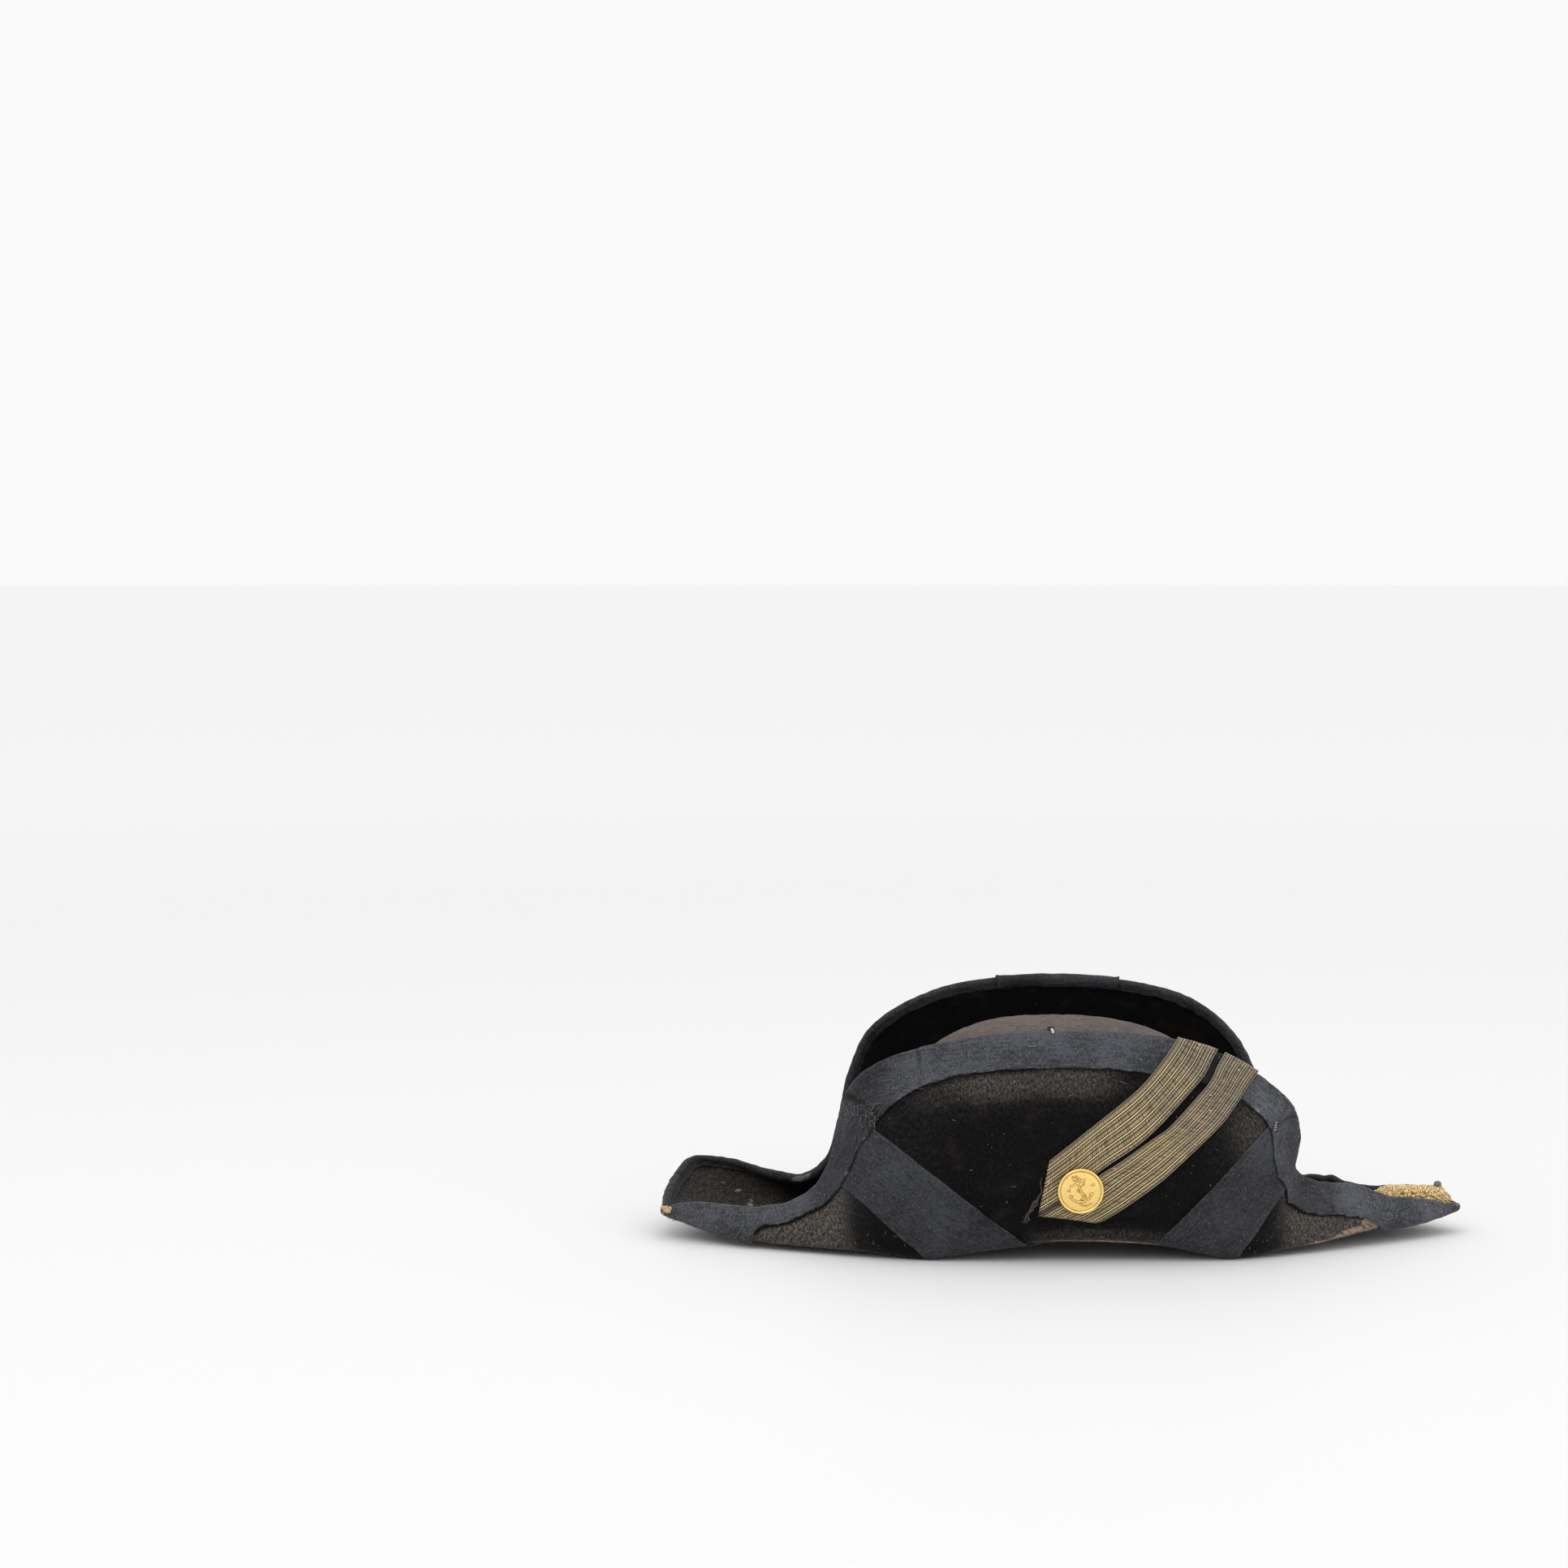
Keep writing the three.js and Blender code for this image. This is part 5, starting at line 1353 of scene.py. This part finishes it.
def button_relief(x, y):
    """How high the stamped device stands over the face of the button."""
    height = np.zeros_like(x)

    def raise_by(distance, width, rise):
        nonlocal height
        height = np.maximum(height, rise * np.sqrt(np.clip(1 - (distance / (width / 2)) ** 2, 0, 1)))
    for *stroke, width in zip(*ANCHOR.values()):
        raise_by(capsule(x, y, *stroke), width, 0.62)
    ring = np.abs(np.hypot(x - ANCHOR_RING["x"], y - ANCHOR_RING["y"]) - ANCHOR_RING["radius"])
    raise_by(ring, ANCHOR_RING["width"], 0.5)
    dense = catmull(np.stack([CABLE["x"], CABLE["y"]], 1), np.linspace(0, 1, 60))
    away = np.min([capsule(x, y, *a, *b) for a, b in zip(dense, dense[1:])], axis=0)
    along = np.argmin([np.hypot(x - px, y - py) for px, py in dense], axis=0)
    raise_by(away, 0.62 + 0.1 * np.sin(along * 1.9), 0.5)
    for sx, sy, radius in zip(*STARS.values()):
        angle = np.arctan2(y - sy, x - sx) - np.pi / 2
        lobe = np.cos(np.mod(angle + np.pi / 5, 2 * np.pi / 5) - np.pi / 5)
        reach = radius * (0.45 + 0.55 * np.clip((lobe - 0.809) / 0.191, 0, 1) ** 1.4)
        height = np.maximum(height, 0.42 * smooth(reach, reach * 0.35, np.hypot(x - sx, y - sy)))
    return height


def button_dirt_and_shade(x, y, radius, stamp):
    """How brown each place of the face is made: grime in the ground of the stamping and in the rim's groove,
    and painted shade on the stamping's slopes, on the lower-right side of each raised stroke and on the rim's
    outer edge.
    """
    ground = (1 - smooth(0.0, 0.3, stamp)) * smooth(BUTTON_FACE["radius"], 8.0, radius)
    ground = ground * np.clip(ripple(np.stack([x, y], -1), 2.4, 72), 0, 1)
    # Painted shade on the slopes of the stamping, and on the lower-right side of each raised stroke.
    ways = ((0.16, 0), (0, 0.16))
    slope = np.hypot(*[button_relief(x + a, y + b) - button_relief(x - a, y - b) for a, b in ways])
    low = button_relief(x - 0.12, y + 0.16) - button_relief(x + 0.12, y - 0.16)
    dirt_and_shade = np.clip(0.35 * ground + 0.8 * smooth(0.08, 0.34, slope) + 0.6 * smooth(0.04, 0.25, low), 0, 1)
    # Grime in the rim's groove, and painted shade on the rim's outer edge.
    rim = hump(radius, 10.25, 0.32) + 0.8 * smooth(11.35, 11.75, radius)
    return np.maximum(dirt_and_shade * (radius < BUTTON_FACE["radius"]), np.clip(rim, 0, 1) * 0.85)


def build_button():
    angle = np.linspace(0, 2 * np.pi, BUTTON_COLUMNS, endpoint=False)[None, :]
    face = np.concatenate([np.linspace(BUTTON_FACE["radius"], 0.6, BUTTON_FACE_ROWS), [0.0]])
    dome = np.sqrt(np.clip(1 - (face / BUTTON_FACE["reach"]) ** 2, 0, 1))
    radius = np.concatenate([BUTTON_PROFILE["radius"], face])[:, None]
    rise = np.concatenate([BUTTON_PROFILE["rise"], BUTTON_FACE["edge"] + BUTTON_FACE["dome"] * dome])[:, None]
    x, y = radius * np.cos(angle), radius * np.sin(angle)
    on_face = np.arange(len(radius))[:, None] >= len(BUTTON_PROFILE["rise"])
    stamp = button_relief(x, y) * on_face * sizes().button_relief * 1.25
    z = rise + stamp + 0.02 * ripple(np.stack([x, y], -1), 1.3, 71)
    u, depth = NEAR.find_z(np.array([BUTTON_AT["x"]]), np.array([BUTTON_AT["z"]]))
    back = NEAR.on(u, depth, BUTTON_LIFT)[0]
    out = unit(NEAR.look(NEAR.normals, u, depth))[0]
    right = unit(np.cross([0, 0, 1], out))
    up = np.cross(out, right)
    points = back + x[..., None] * right + y[..., None] * up + z[..., None] * out
    faces = grid_faces(*points.shape[:2], close_columns=True)
    return piece("Button", points, faces, gilt_finish(), "button", "gilt", merge=1e-3,
                 hollow=button_dirt_and_shade(x, y, radius, stamp))


# ---------------------------------------------------------------- bullion
BULLION_LAYERS = table("z end lead spread", [
    [23.3, 210.0, 171.5, 0.82], [21.5, 211.4, 168.5, 1.0], [19.7, 211.6, 168.0, 1.06],
    [17.9, 212.2, 169.5, 1.1], [16.1, 211.2, 171.5, 1.05],
])
BULLION_HALF = table("x half", [[168, 12.0], [187, 10.2], [200, 7.2], [207, 5.2], [213, 3.2]])
BULLION_SPAN = 22  # the width that the cords of one layer fill side by side
BULLION_TURN_DOWN = 15.5  # the height towards which the cords' ends turn
BULLION_KNOT = (204.3, -1.0, 25.3)


def bullion_cords(rng, radius):
    """Layers of cords that lie side by side in the front peak, and how thick each cord is."""
    paths, widths = [], []
    for layer, (z, far, start, spread) in enumerate(zip(*BULLION_LAYERS.values())):
        lanes = int(BULLION_SPAN * spread / (radius * 1.9)) + 1
        for lane in np.linspace(-1, 1, lanes) + rng.uniform(-0.02, 0.02, lanes):
            lane = lane + (layer % 2) * 0.5 / lanes
            lead = start + 3.0 * lane**2 + rng.uniform(0, 1.5)
            end = far - 3.4 * lane**2 - rng.uniform(0, 0.8)
            x = mix(lead, end, np.linspace(0, 1, 140))
            half = np.interp(x, BULLION_HALF["x"], BULLION_HALF["half"]) * spread
            drop, sink = smooth(end - 4.5, end + 0.5, x), smooth(lead + 6, lead - 1, x)
            sway = rng.uniform(0, 6, 2)
            y = lane * half - 0.6 + 0.3 * np.sin(x * 0.9 + sway[0]) + 0.2 * np.sin(x * 2.1 + sway[1])
            height = z - 1.3 * lane**2 - drop * (z - BULLION_TURN_DOWN) * 0.45
            height = height - 2.2 * sink * (layer < 3) + 0.35 * np.sin(x * 1.1 + sway[1])
            paths.append(np.stack([x, y, height], 1))
            widths.append(radius * rng.uniform(0.92, 1.08))
    return paths, widths


def build_bullion():
    """Cords of wound wire that lie side by side in the front peak and turn down together at its end."""
    rng = np.random.default_rng(81)
    paths, widths = bullion_cords(rng, sizes().bullion_cord / MM / 2)
    thread_piece("Front_bullion", paths, widths, bullion_finish(), "bullion", "front_tassel",
                 sides=9, taper=0.7, groove=0.26, pitch=BULLION_COIL)
    knot = thread_knot(BULLION_KNOT, [1.6, 1.5, 1.2], 7, 0.9, 30)
    points, faces, _ = threads(knot, 0.5, sides=7, taper=0.1, groove=0.14, pitch=0.9)
    piece("Front_bullion_knot", points, faces, thread_finish("tarnished_thread"), None, "bullion")
    wires = []
    for _ in range(26):
        begin = np.array([rng.uniform(209.5, 214), rng.uniform(-8.2, -5.5), rng.uniform(13.5, 16.5)])
        wires.append(stray_wire(rng, begin, [-2, -1.2, -1.5], [2.5, 0.2, 1.0], 12, 0.4))
    thread_piece("Front_bullion_wires", wires, 0.16, bullion_finish(), "bullion")


REAR_SCRAP = [
    [(-209.4, -25.8, 17.6), (-207.8, -26.4, 16.2), (-206.3, -26.7, 14.3)],
    [(-207.2, -26.2, 18.0), (-206.7, -26.8, 16.4), (-206.0, -26.9, 14.3)],
    [(-204.7, -26.9, 17.6), (-205.3, -27.1, 16.2), (-205.8, -27.0, 14.4)],
]


def build_rear_scrap():
    """The last of the rear bullion: a flattened, torn and creased scrap of its core with a few wires."""
    rng = np.random.default_rng(83)
    paths = [catmull(np.array(p), np.linspace(0, 1, 26)) for p in REAR_SCRAP]
    points, faces, weave = threads(paths, 1.05, sides=9, taper=0.7, groove=0.1, pitch=1.4)
    points[:, 1] += 0.25 * ripple(points, 2.2, 84)
    core = thread_finish("bullion_core")
    piece("Rear_bullion_scrap", points, faces, core, "rear_tassel", "bullion", weave=weave)
    wires = []
    for _ in range(9):
        start = np.array([rng.uniform(-209, -205), -26.6, rng.uniform(15, 18)])
        wires.append(stray_wire(rng, start, [-2, -1.6, -3], [2.5, -0.2, 1.5], 14, 0.5))
    thread_piece("Rear_bullion_wires", wires, 0.13, bullion_finish(), "bullion")


# ---------------------------------------------------------------- small trims
def strand_on(flap, u, depth, lift, count):
    """A thread that lies over places given by share, depth and height over the felt."""
    k = np.linspace(0, 1, count)
    dense = catmull(np.stack([u, depth, lift], 1), k)
    return flap.on(dense[:, 0], dense[:, 1], dense[:, 2])


# The loose thread beside the end of the lace, and how many of its points its split ends leave out.
LOOSE_THREAD = table("x z", [
    [-13.8, 45.5], [-14.6, 42], [-13.9, 38.0], [-15.4, 35.5], [-17.6, 32.2], [-19.6, 29.0], [-20.8, 26.2],
    [-21.6, 23.6], [-23.0, 21.8],
])
LOOSE_SPLIT = 3
# Where the ribbon's threads have frayed: the middle, how far round it, how many, and how long.
FRAYED = table("x z spread count length", [
    [112, 80, 8, 60, 3.0], [-166, 9, 7, 50, 3.5], [-104, 74, 9, 110, 4], [-205, 14, 6, 50, 3],
    [-86, 88, 6, 30, 4],
])
LINT_COUNT = 620
EDGE_LENGTH = 560  # roughly the length of a free edge, which turns a length into a share
DARK_KNOT_X = -8.0


def build_loose_thread(rng):
    """The loose brown thread and its split ends."""
    u, depth = NEAR.find_z(LOOSE_THREAD["x"], LOOSE_THREAD["z"])
    loose = [strand_on(NEAR, u, depth, 1.7 + 0.5 * np.sin(np.arange(len(u)) * 1.3) ** 2, 50)]
    u, depth = u[LOOSE_SPLIT:], depth[LOOSE_SPLIT:]
    for _ in range(5):
        shift, drop = rng.uniform(-0.0016, 0.0016, 6), rng.uniform(-1, 1, 6)
        loose.append(strand_on(NEAR, u + shift, depth + drop, np.full(6, 1.75) + rng.uniform(0, 0.6, 6), 30))
    thread_piece("Loose_thread", loose, [0.3, 0.24, 0.2, 0.2, 0.18, 0.18], thread_finish("dark_brown_thread"),
                 sides=6, taper=0.6, groove=0.15, pitch=1.2)


def build_corner_stitches(rng):
    """The cream stitches at the corner of the binding."""
    stitches = []
    for n in range(4):
        x, z = 106.6 + rng.uniform(-0.6, 0.6), 68.4 - 1.0 * n + rng.uniform(-0.3, 0.3)
        u, depth = NEAR.find_z(np.array([x - 0.55, x, x + 0.55]), np.array([z - 0.2, z, z + 0.3]))
        stitches.append(strand_on(NEAR, u, depth, np.array([2.5, 3.0, 2.5]), 10))
    thread_piece("Corner_stitches", stitches, 0.21, thread_finish("pale_thread"), sides=6, taper=0.5)


def build_frayed_threads(rng):
    """Frayed threads of the ribbon."""
    frays = []
    k = np.linspace(0, 1, 4)
    for cx, cz, spread, count, length in zip(*FRAYED.values()):
        x = cx + rng.uniform(-spread, spread, int(count))
        z = cz + rng.uniform(-spread, spread, int(count)) * 0.6
        u, depth = NEAR.find_z(x, z)
        keep = (depth > 0.5) & (depth < NEAR.row(NEAR.fold_depth, u) + 3)
        for at, down in zip(u[keep], depth[keep]):
            du, dd, bow = rng.normal(0, length / 900), rng.normal(0, length * 0.5), rng.uniform(-0.6, 0.6)
            lift = 2.35 + np.array([0, 0.5, 0.55, 0.1]) + rng.uniform(0, 0.5)
            us = at + du * k + bow * 0.001 * k * (1 - k) * 4
            frays.append(strand_on(NEAR, us, np.maximum(down + dd * k, 0.3), lift, 8))
    thread_piece("Frayed_threads", frays, 0.085, thread_finish("fluff_thread"), sides=3, taper=0.5)


def build_lint(rng):
    """Lint and short pale hairs caught in the nap."""
    lint = []
    k = np.linspace(0, 1, 3)
    for n in range(LINT_COUNT):
        side = RIGHT if n % 4 else LEFT
        flap = FLAPS[side]
        u = rng.uniform(0.02, 0.98)
        depth = rng.uniform(0.5, flap.row(flap.fold_depth, u))
        lift = 2.55 if depth < lower_edge(side, np.array([u]))[0] + 1.0 else 1.5
        length = rng.uniform(0.2, 0.8) if n % 6 else rng.uniform(1.0, 2.2)
        way = rng.uniform(0, 2 * np.pi)
        us = u + np.cos(way) * length * k / EDGE_LENGTH
        ds = np.maximum(depth + np.sin(way) * length * k, 0.1)
        lint.append(strand_on(flap, us, ds, lift + np.array([0.05, rng.uniform(0.1, 0.5), 0.05]), 6))
    widths = [0.075 if n % 6 else 0.045 for n in range(LINT_COUNT)]
    thread_piece("Lint", lint, widths, thread_finish("pale_thread"), sides=3, taper=0.6)


def build_top_knot():
    """The knot of dark thread and the scrap of pale thread at the top of the near flap."""
    share = np.interp(DARK_KNOT_X, NEAR.points[:, 0, 0], NEAR.us)
    top = NEAR.wrap(np.array([share]), np.array([0.0]), np.array([2.9]))[0]
    knot = thread_knot(top + [0, 0.0, 0.5], [1.7, 1.2, 1.0], 6, 1.05, 22)
    thread_piece("Dark_knot", knot, 0.5, thread_finish("dark_thread"), sides=6, taper=0.1)
    us = np.full(12, share) + np.linspace(0, 0.0006, 12)
    bit = NEAR.wrap(us, np.linspace(1.5, 5.2, 12), np.full(12, 3.0))
    scrap = [bit, bit + [0.5, 0, 0.2]]
    thread_piece("Pale_scrap", scrap, 0.42, thread_finish("pale_thread"), sides=6, taper=0.5)


# ---------------------------------------------------------------- stage
FLOOR_RINGS = [0.5, 1.2, 3.0, 30.0]
FLOOR_SIDES = 64
# Each lamp's place in metres, its width, and its share of the main light's power.
LAMPS = {
    "Key": ((-0.9, -1.5, 2.1), 1.6, 1.0),
    "Top": ((0.25, 0.1, 2.2), 1.8, 0.8),
    "Fill": ((1.8, -1.6, 1.0), 1.6, 0.35),
}
LAMP_AIM = (0, 0, 0.05)
SENSOR, LENS = 36.0, 86.65
CAMERA_AT = (-0.14747, -1.99986, 0.368)
CAMERA_TILT = 86.32


def add_object(name, data):
    made = bpy.data.objects.new(name, data)
    bpy.context.scene.collection.objects.link(made)
    return made


def build_floor(colour):
    angle = np.linspace(0, 2 * np.pi, FLOOR_SIDES, endpoint=False)
    radius = np.array(FLOOR_RINGS)[:, None]
    rows = len(FLOOR_RINGS)
    level = np.full((rows, FLOOR_SIDES), FLOOR)
    points = np.stack([radius * np.cos(angle), radius * np.sin(angle), level], -1)
    faces = grid_faces(rows, FLOOR_SIDES, close_columns=True)[:, ::-1].tolist() + [list(range(FLOOR_SIDES))]
    mesh = bpy.data.meshes.new("Floor")
    mesh.from_pydata(points.reshape(-1, 3).tolist(), [], faces)
    mesh.shade_smooth()
    floor = add_object("Floor", mesh)
    f = Finish("floor", Specular_IOR_Level=0.2)
    away = f.node("VectorMath", {0: f.place()}, operation="LENGTH").outputs["Value"]
    # Painted darker near the middle and paler far out, a painted shade that evens out the lamps' brighter
    # pool round the hat.
    mesh.materials.append(f.finish(f.tone(away, 0.6, 4.0, colour, 1.0, 1.14), 0.6))


def build_stage():
    """A wide pale floor, soft light all round and the camera."""
    s = bpy.context.scene.bicorne_stage
    build_floor(s.floor)
    world = bpy.data.worlds.new("Studio")
    bpy.context.scene.world = world
    world.use_nodes = True
    background = world.node_tree.nodes["Background"]
    background.inputs["Color"].default_value = (1, 1, 1, 1)
    background.inputs["Strength"].default_value = s.ambient
    for name, (place, size, share) in LAMPS.items():
        data = bpy.data.lights.new(name, "AREA")
        data.shape = "SQUARE"
        data.size = size
        data.energy = s.key * share
        lamp = add_object(name, data)
        lamp.location = place
        lamp.rotation_euler = (Vector(LAMP_AIM) - Vector(place)).to_track_quat("-Z", "Y").to_euler()
    data = bpy.data.cameras.new("Camera")
    data.sensor_width = SENSOR
    data.lens = LENS
    camera = add_object("Camera", data)
    camera.location = CAMERA_AT
    camera.rotation_euler = (math.radians(CAMERA_TILT), 0, 0)
    bpy.context.scene.camera = camera
    bpy.context.scene.view_settings.view_transform = "Standard"


# ---------------------------------------------------------------- properties
def length_property(name, description, default, low=0.0, high=0.1):
    return bpy.props.FloatProperty(name=name, description=description, default=default, min=low, max=high,
                                   precision=5, unit="LENGTH", subtype="DISTANCE")


def colour_property(name, description, colour):
    return bpy.props.FloatVectorProperty(name=name, description=description, default=linear(colour)[:3],
                                         size=3, min=0.0, max=1.0, subtype="COLOR")


class BicorneSizes(bpy.types.PropertyGroup):
    """Sizes of the hat's layers."""
    felt_wall: length_property("Felt", "Thickness of the crown and brim", FELT * MM)
    ribbon_wall: length_property("Ribbon", "Thickness of the binding", 0.55 * MM)
    plush_relief: length_property("Plush relief", "How uneven the plush is", 0.09 * MM)
    lace_relief: length_property("Lace relief", "How high the threads of the lace stand", 0.26 * MM)
    bullion_cord: length_property("Bullion cord", "Thickness of a cord of bullion", 2.1 * MM)
    button_relief: bpy.props.FloatProperty(name="Button relief", description="Strength of the stamped device",
                                           default=1.0, min=0.0, max=2.0, subtype="FACTOR")


class BicorneColours(bpy.types.PropertyGroup):
    """Colours of the hat's cloths and metals."""
    nap_dark: colour_property("Nap, dark", "Plush where it is full", (15, 14, 14))
    nap_light: colour_property("Nap, light", "Plush where it is brushed or dusty", (80, 75, 71))
    worn: colour_property("Worn ground", "Felt that shows where the plush is worn away", (160, 137, 119))
    crown: colour_property("Crown", "Felt of the crown", (110, 98, 93))
    ribbon: colour_property("Ribbon", "Silk of the binding and ribbons", (52, 53, 57))
    fluff: colour_property("Fluff", "Ribbon where it is worn to fluff", (128, 128, 130))
    lace: colour_property("Lace", "Gold threads of the lace", (166, 146, 108))
    lace_bright: colour_property("Lace, bright", "Threads that still shine", (222, 198, 144))
    lace_dark: colour_property("Lace, dark", "Ground between the threads", (30, 27, 26))
    lace_grey: colour_property("Lace, tarnished", "Threads that have gone grey", (134, 123, 110))
    gilt: colour_property("Gilt", "Metal of the button", (255, 220, 136))
    gilt_dull: colour_property("Gilt, dull", "Metal in the hollows", (150, 92, 34))
    bullion: colour_property("Bullion", "Gilt wire of the tassels", (240, 208, 152))
    lint: colour_property("Lint", "Dust and pale thread", (205, 200, 190))


class BicorneStage(bpy.types.PropertyGroup):
    """The floor and the light."""
    floor: colour_property("Floor", "Colour of the floor", (235, 235, 236))
    ambient: bpy.props.FloatProperty(name="Ambient", description="Strength of the light from all round",
                                     default=0.95, min=0.0)
    key: bpy.props.FloatProperty(name="Key", description="Power of the main light",
                                 default=9.0, min=0.0, unit="POWER")


# ---------------------------------------------------------------- operators
class BICORNE_OT_stage(bpy.types.Operator):
    """Make the floor, the lights and the camera"""
    bl_idname = "bicorne.stage"
    bl_label = "Stage"

    def execute(self, context):
        build_stage()
        return {"FINISHED"}


class BICORNE_OT_brim(bpy.types.Operator):
    """Make the plush brim with its two flaps and peaks"""
    bl_idname = "bicorne.brim"
    bl_label = "Brim"

    def execute(self, context):
        build_brim()
        return {"FINISHED"}


class BICORNE_OT_crown(bpy.types.Operator):
    """Make the felt crown"""
    bl_idname = "bicorne.crown"
    bl_label = "Crown"

    def execute(self, context):
        build_crown()
        return {"FINISHED"}


class BICORNE_OT_binding(bpy.types.Operator):
    """Make the ribbon binding round the edge"""
    bl_idname = "bicorne.binding"
    bl_label = "Binding"

    def execute(self, context):
        build_binding()
        build_overlap()
        return {"FINISHED"}


class BICORNE_OT_slants(bpy.types.Operator):
    """Make the two ribbons on the right flap"""
    bl_idname = "bicorne.slants"
    bl_label = "Slanting ribbons"

    def execute(self, context):
        for name, parts in SLANTS.items():
            build_slant(name, **parts)
        return {"FINISHED"}


class BICORNE_OT_lace(bpy.types.Operator):
    """Make the loop of gold lace"""
    bl_idname = "bicorne.lace"
    bl_label = "Lace loop"

    def execute(self, context):
        build_lace()
        return {"FINISHED"}


class BICORNE_OT_button(bpy.types.Operator):
    """Make the gilt button"""
    bl_idname = "bicorne.button"
    bl_label = "Button"

    def execute(self, context):
        build_button()
        return {"FINISHED"}


class BICORNE_OT_bullion(bpy.types.Operator):
    """Make the bullion in the two peaks"""
    bl_idname = "bicorne.bullion"
    bl_label = "Bullion"

    def execute(self, context):
        build_bullion()
        build_rear_scrap()
        return {"FINISHED"}


class BICORNE_OT_threads(bpy.types.Operator):
    """Make the loose threads, stitches and lint"""
    bl_idname = "bicorne.threads"
    bl_label = "Threads"

    def execute(self, context):
        rng = np.random.default_rng(91)
        build_loose_thread(rng)
        build_corner_stitches(rng)
        build_frayed_threads(rng)
        build_lint(rng)
        build_top_knot()
        return {"FINISHED"}


OPERATORS = [
    BICORNE_OT_stage, BICORNE_OT_brim, BICORNE_OT_crown, BICORNE_OT_binding, BICORNE_OT_slants,
    BICORNE_OT_lace, BICORNE_OT_button, BICORNE_OT_bullion, BICORNE_OT_threads,
]
GROUPS = ("bicorne_sizes", "bicorne_colours", "bicorne_stage")


class BICORNE_PT_panel(bpy.types.Panel):
    """Lists the hat's pieces in the sidebar."""
    bl_idname = "BICORNE_PT_panel"
    bl_label = "Naval Bicorne"
    bl_space_type = "VIEW_3D"
    bl_region_type = "UI"
    bl_category = "Bicorne"

    def draw(self, context):
        for made in OPERATORS:
            self.layout.operator(made.bl_idname)
        for key in GROUPS:
            group, box = getattr(context.scene, key), self.layout.box()
            for field in group.__annotations__:
                box.prop(group, field)


CLASSES = [BicorneSizes, BicorneColours, BicorneStage, *OPERATORS, BICORNE_PT_panel]


def register():
    for cls in CLASSES:
        bpy.utils.register_class(cls)
    for key, group in zip(GROUPS, (BicorneSizes, BicorneColours, BicorneStage)):
        setattr(bpy.types.Scene, key, bpy.props.PointerProperty(type=group))


def unregister():
    for key in GROUPS:
        delattr(bpy.types.Scene, key)
    for cls in reversed(CLASSES):
        bpy.utils.unregister_class(cls)


def main():
    register()
    for made in OPERATORS:
        getattr(bpy.ops.bicorne, made.bl_idname.split(".")[1])()


if __name__ == "__main__":
    main()
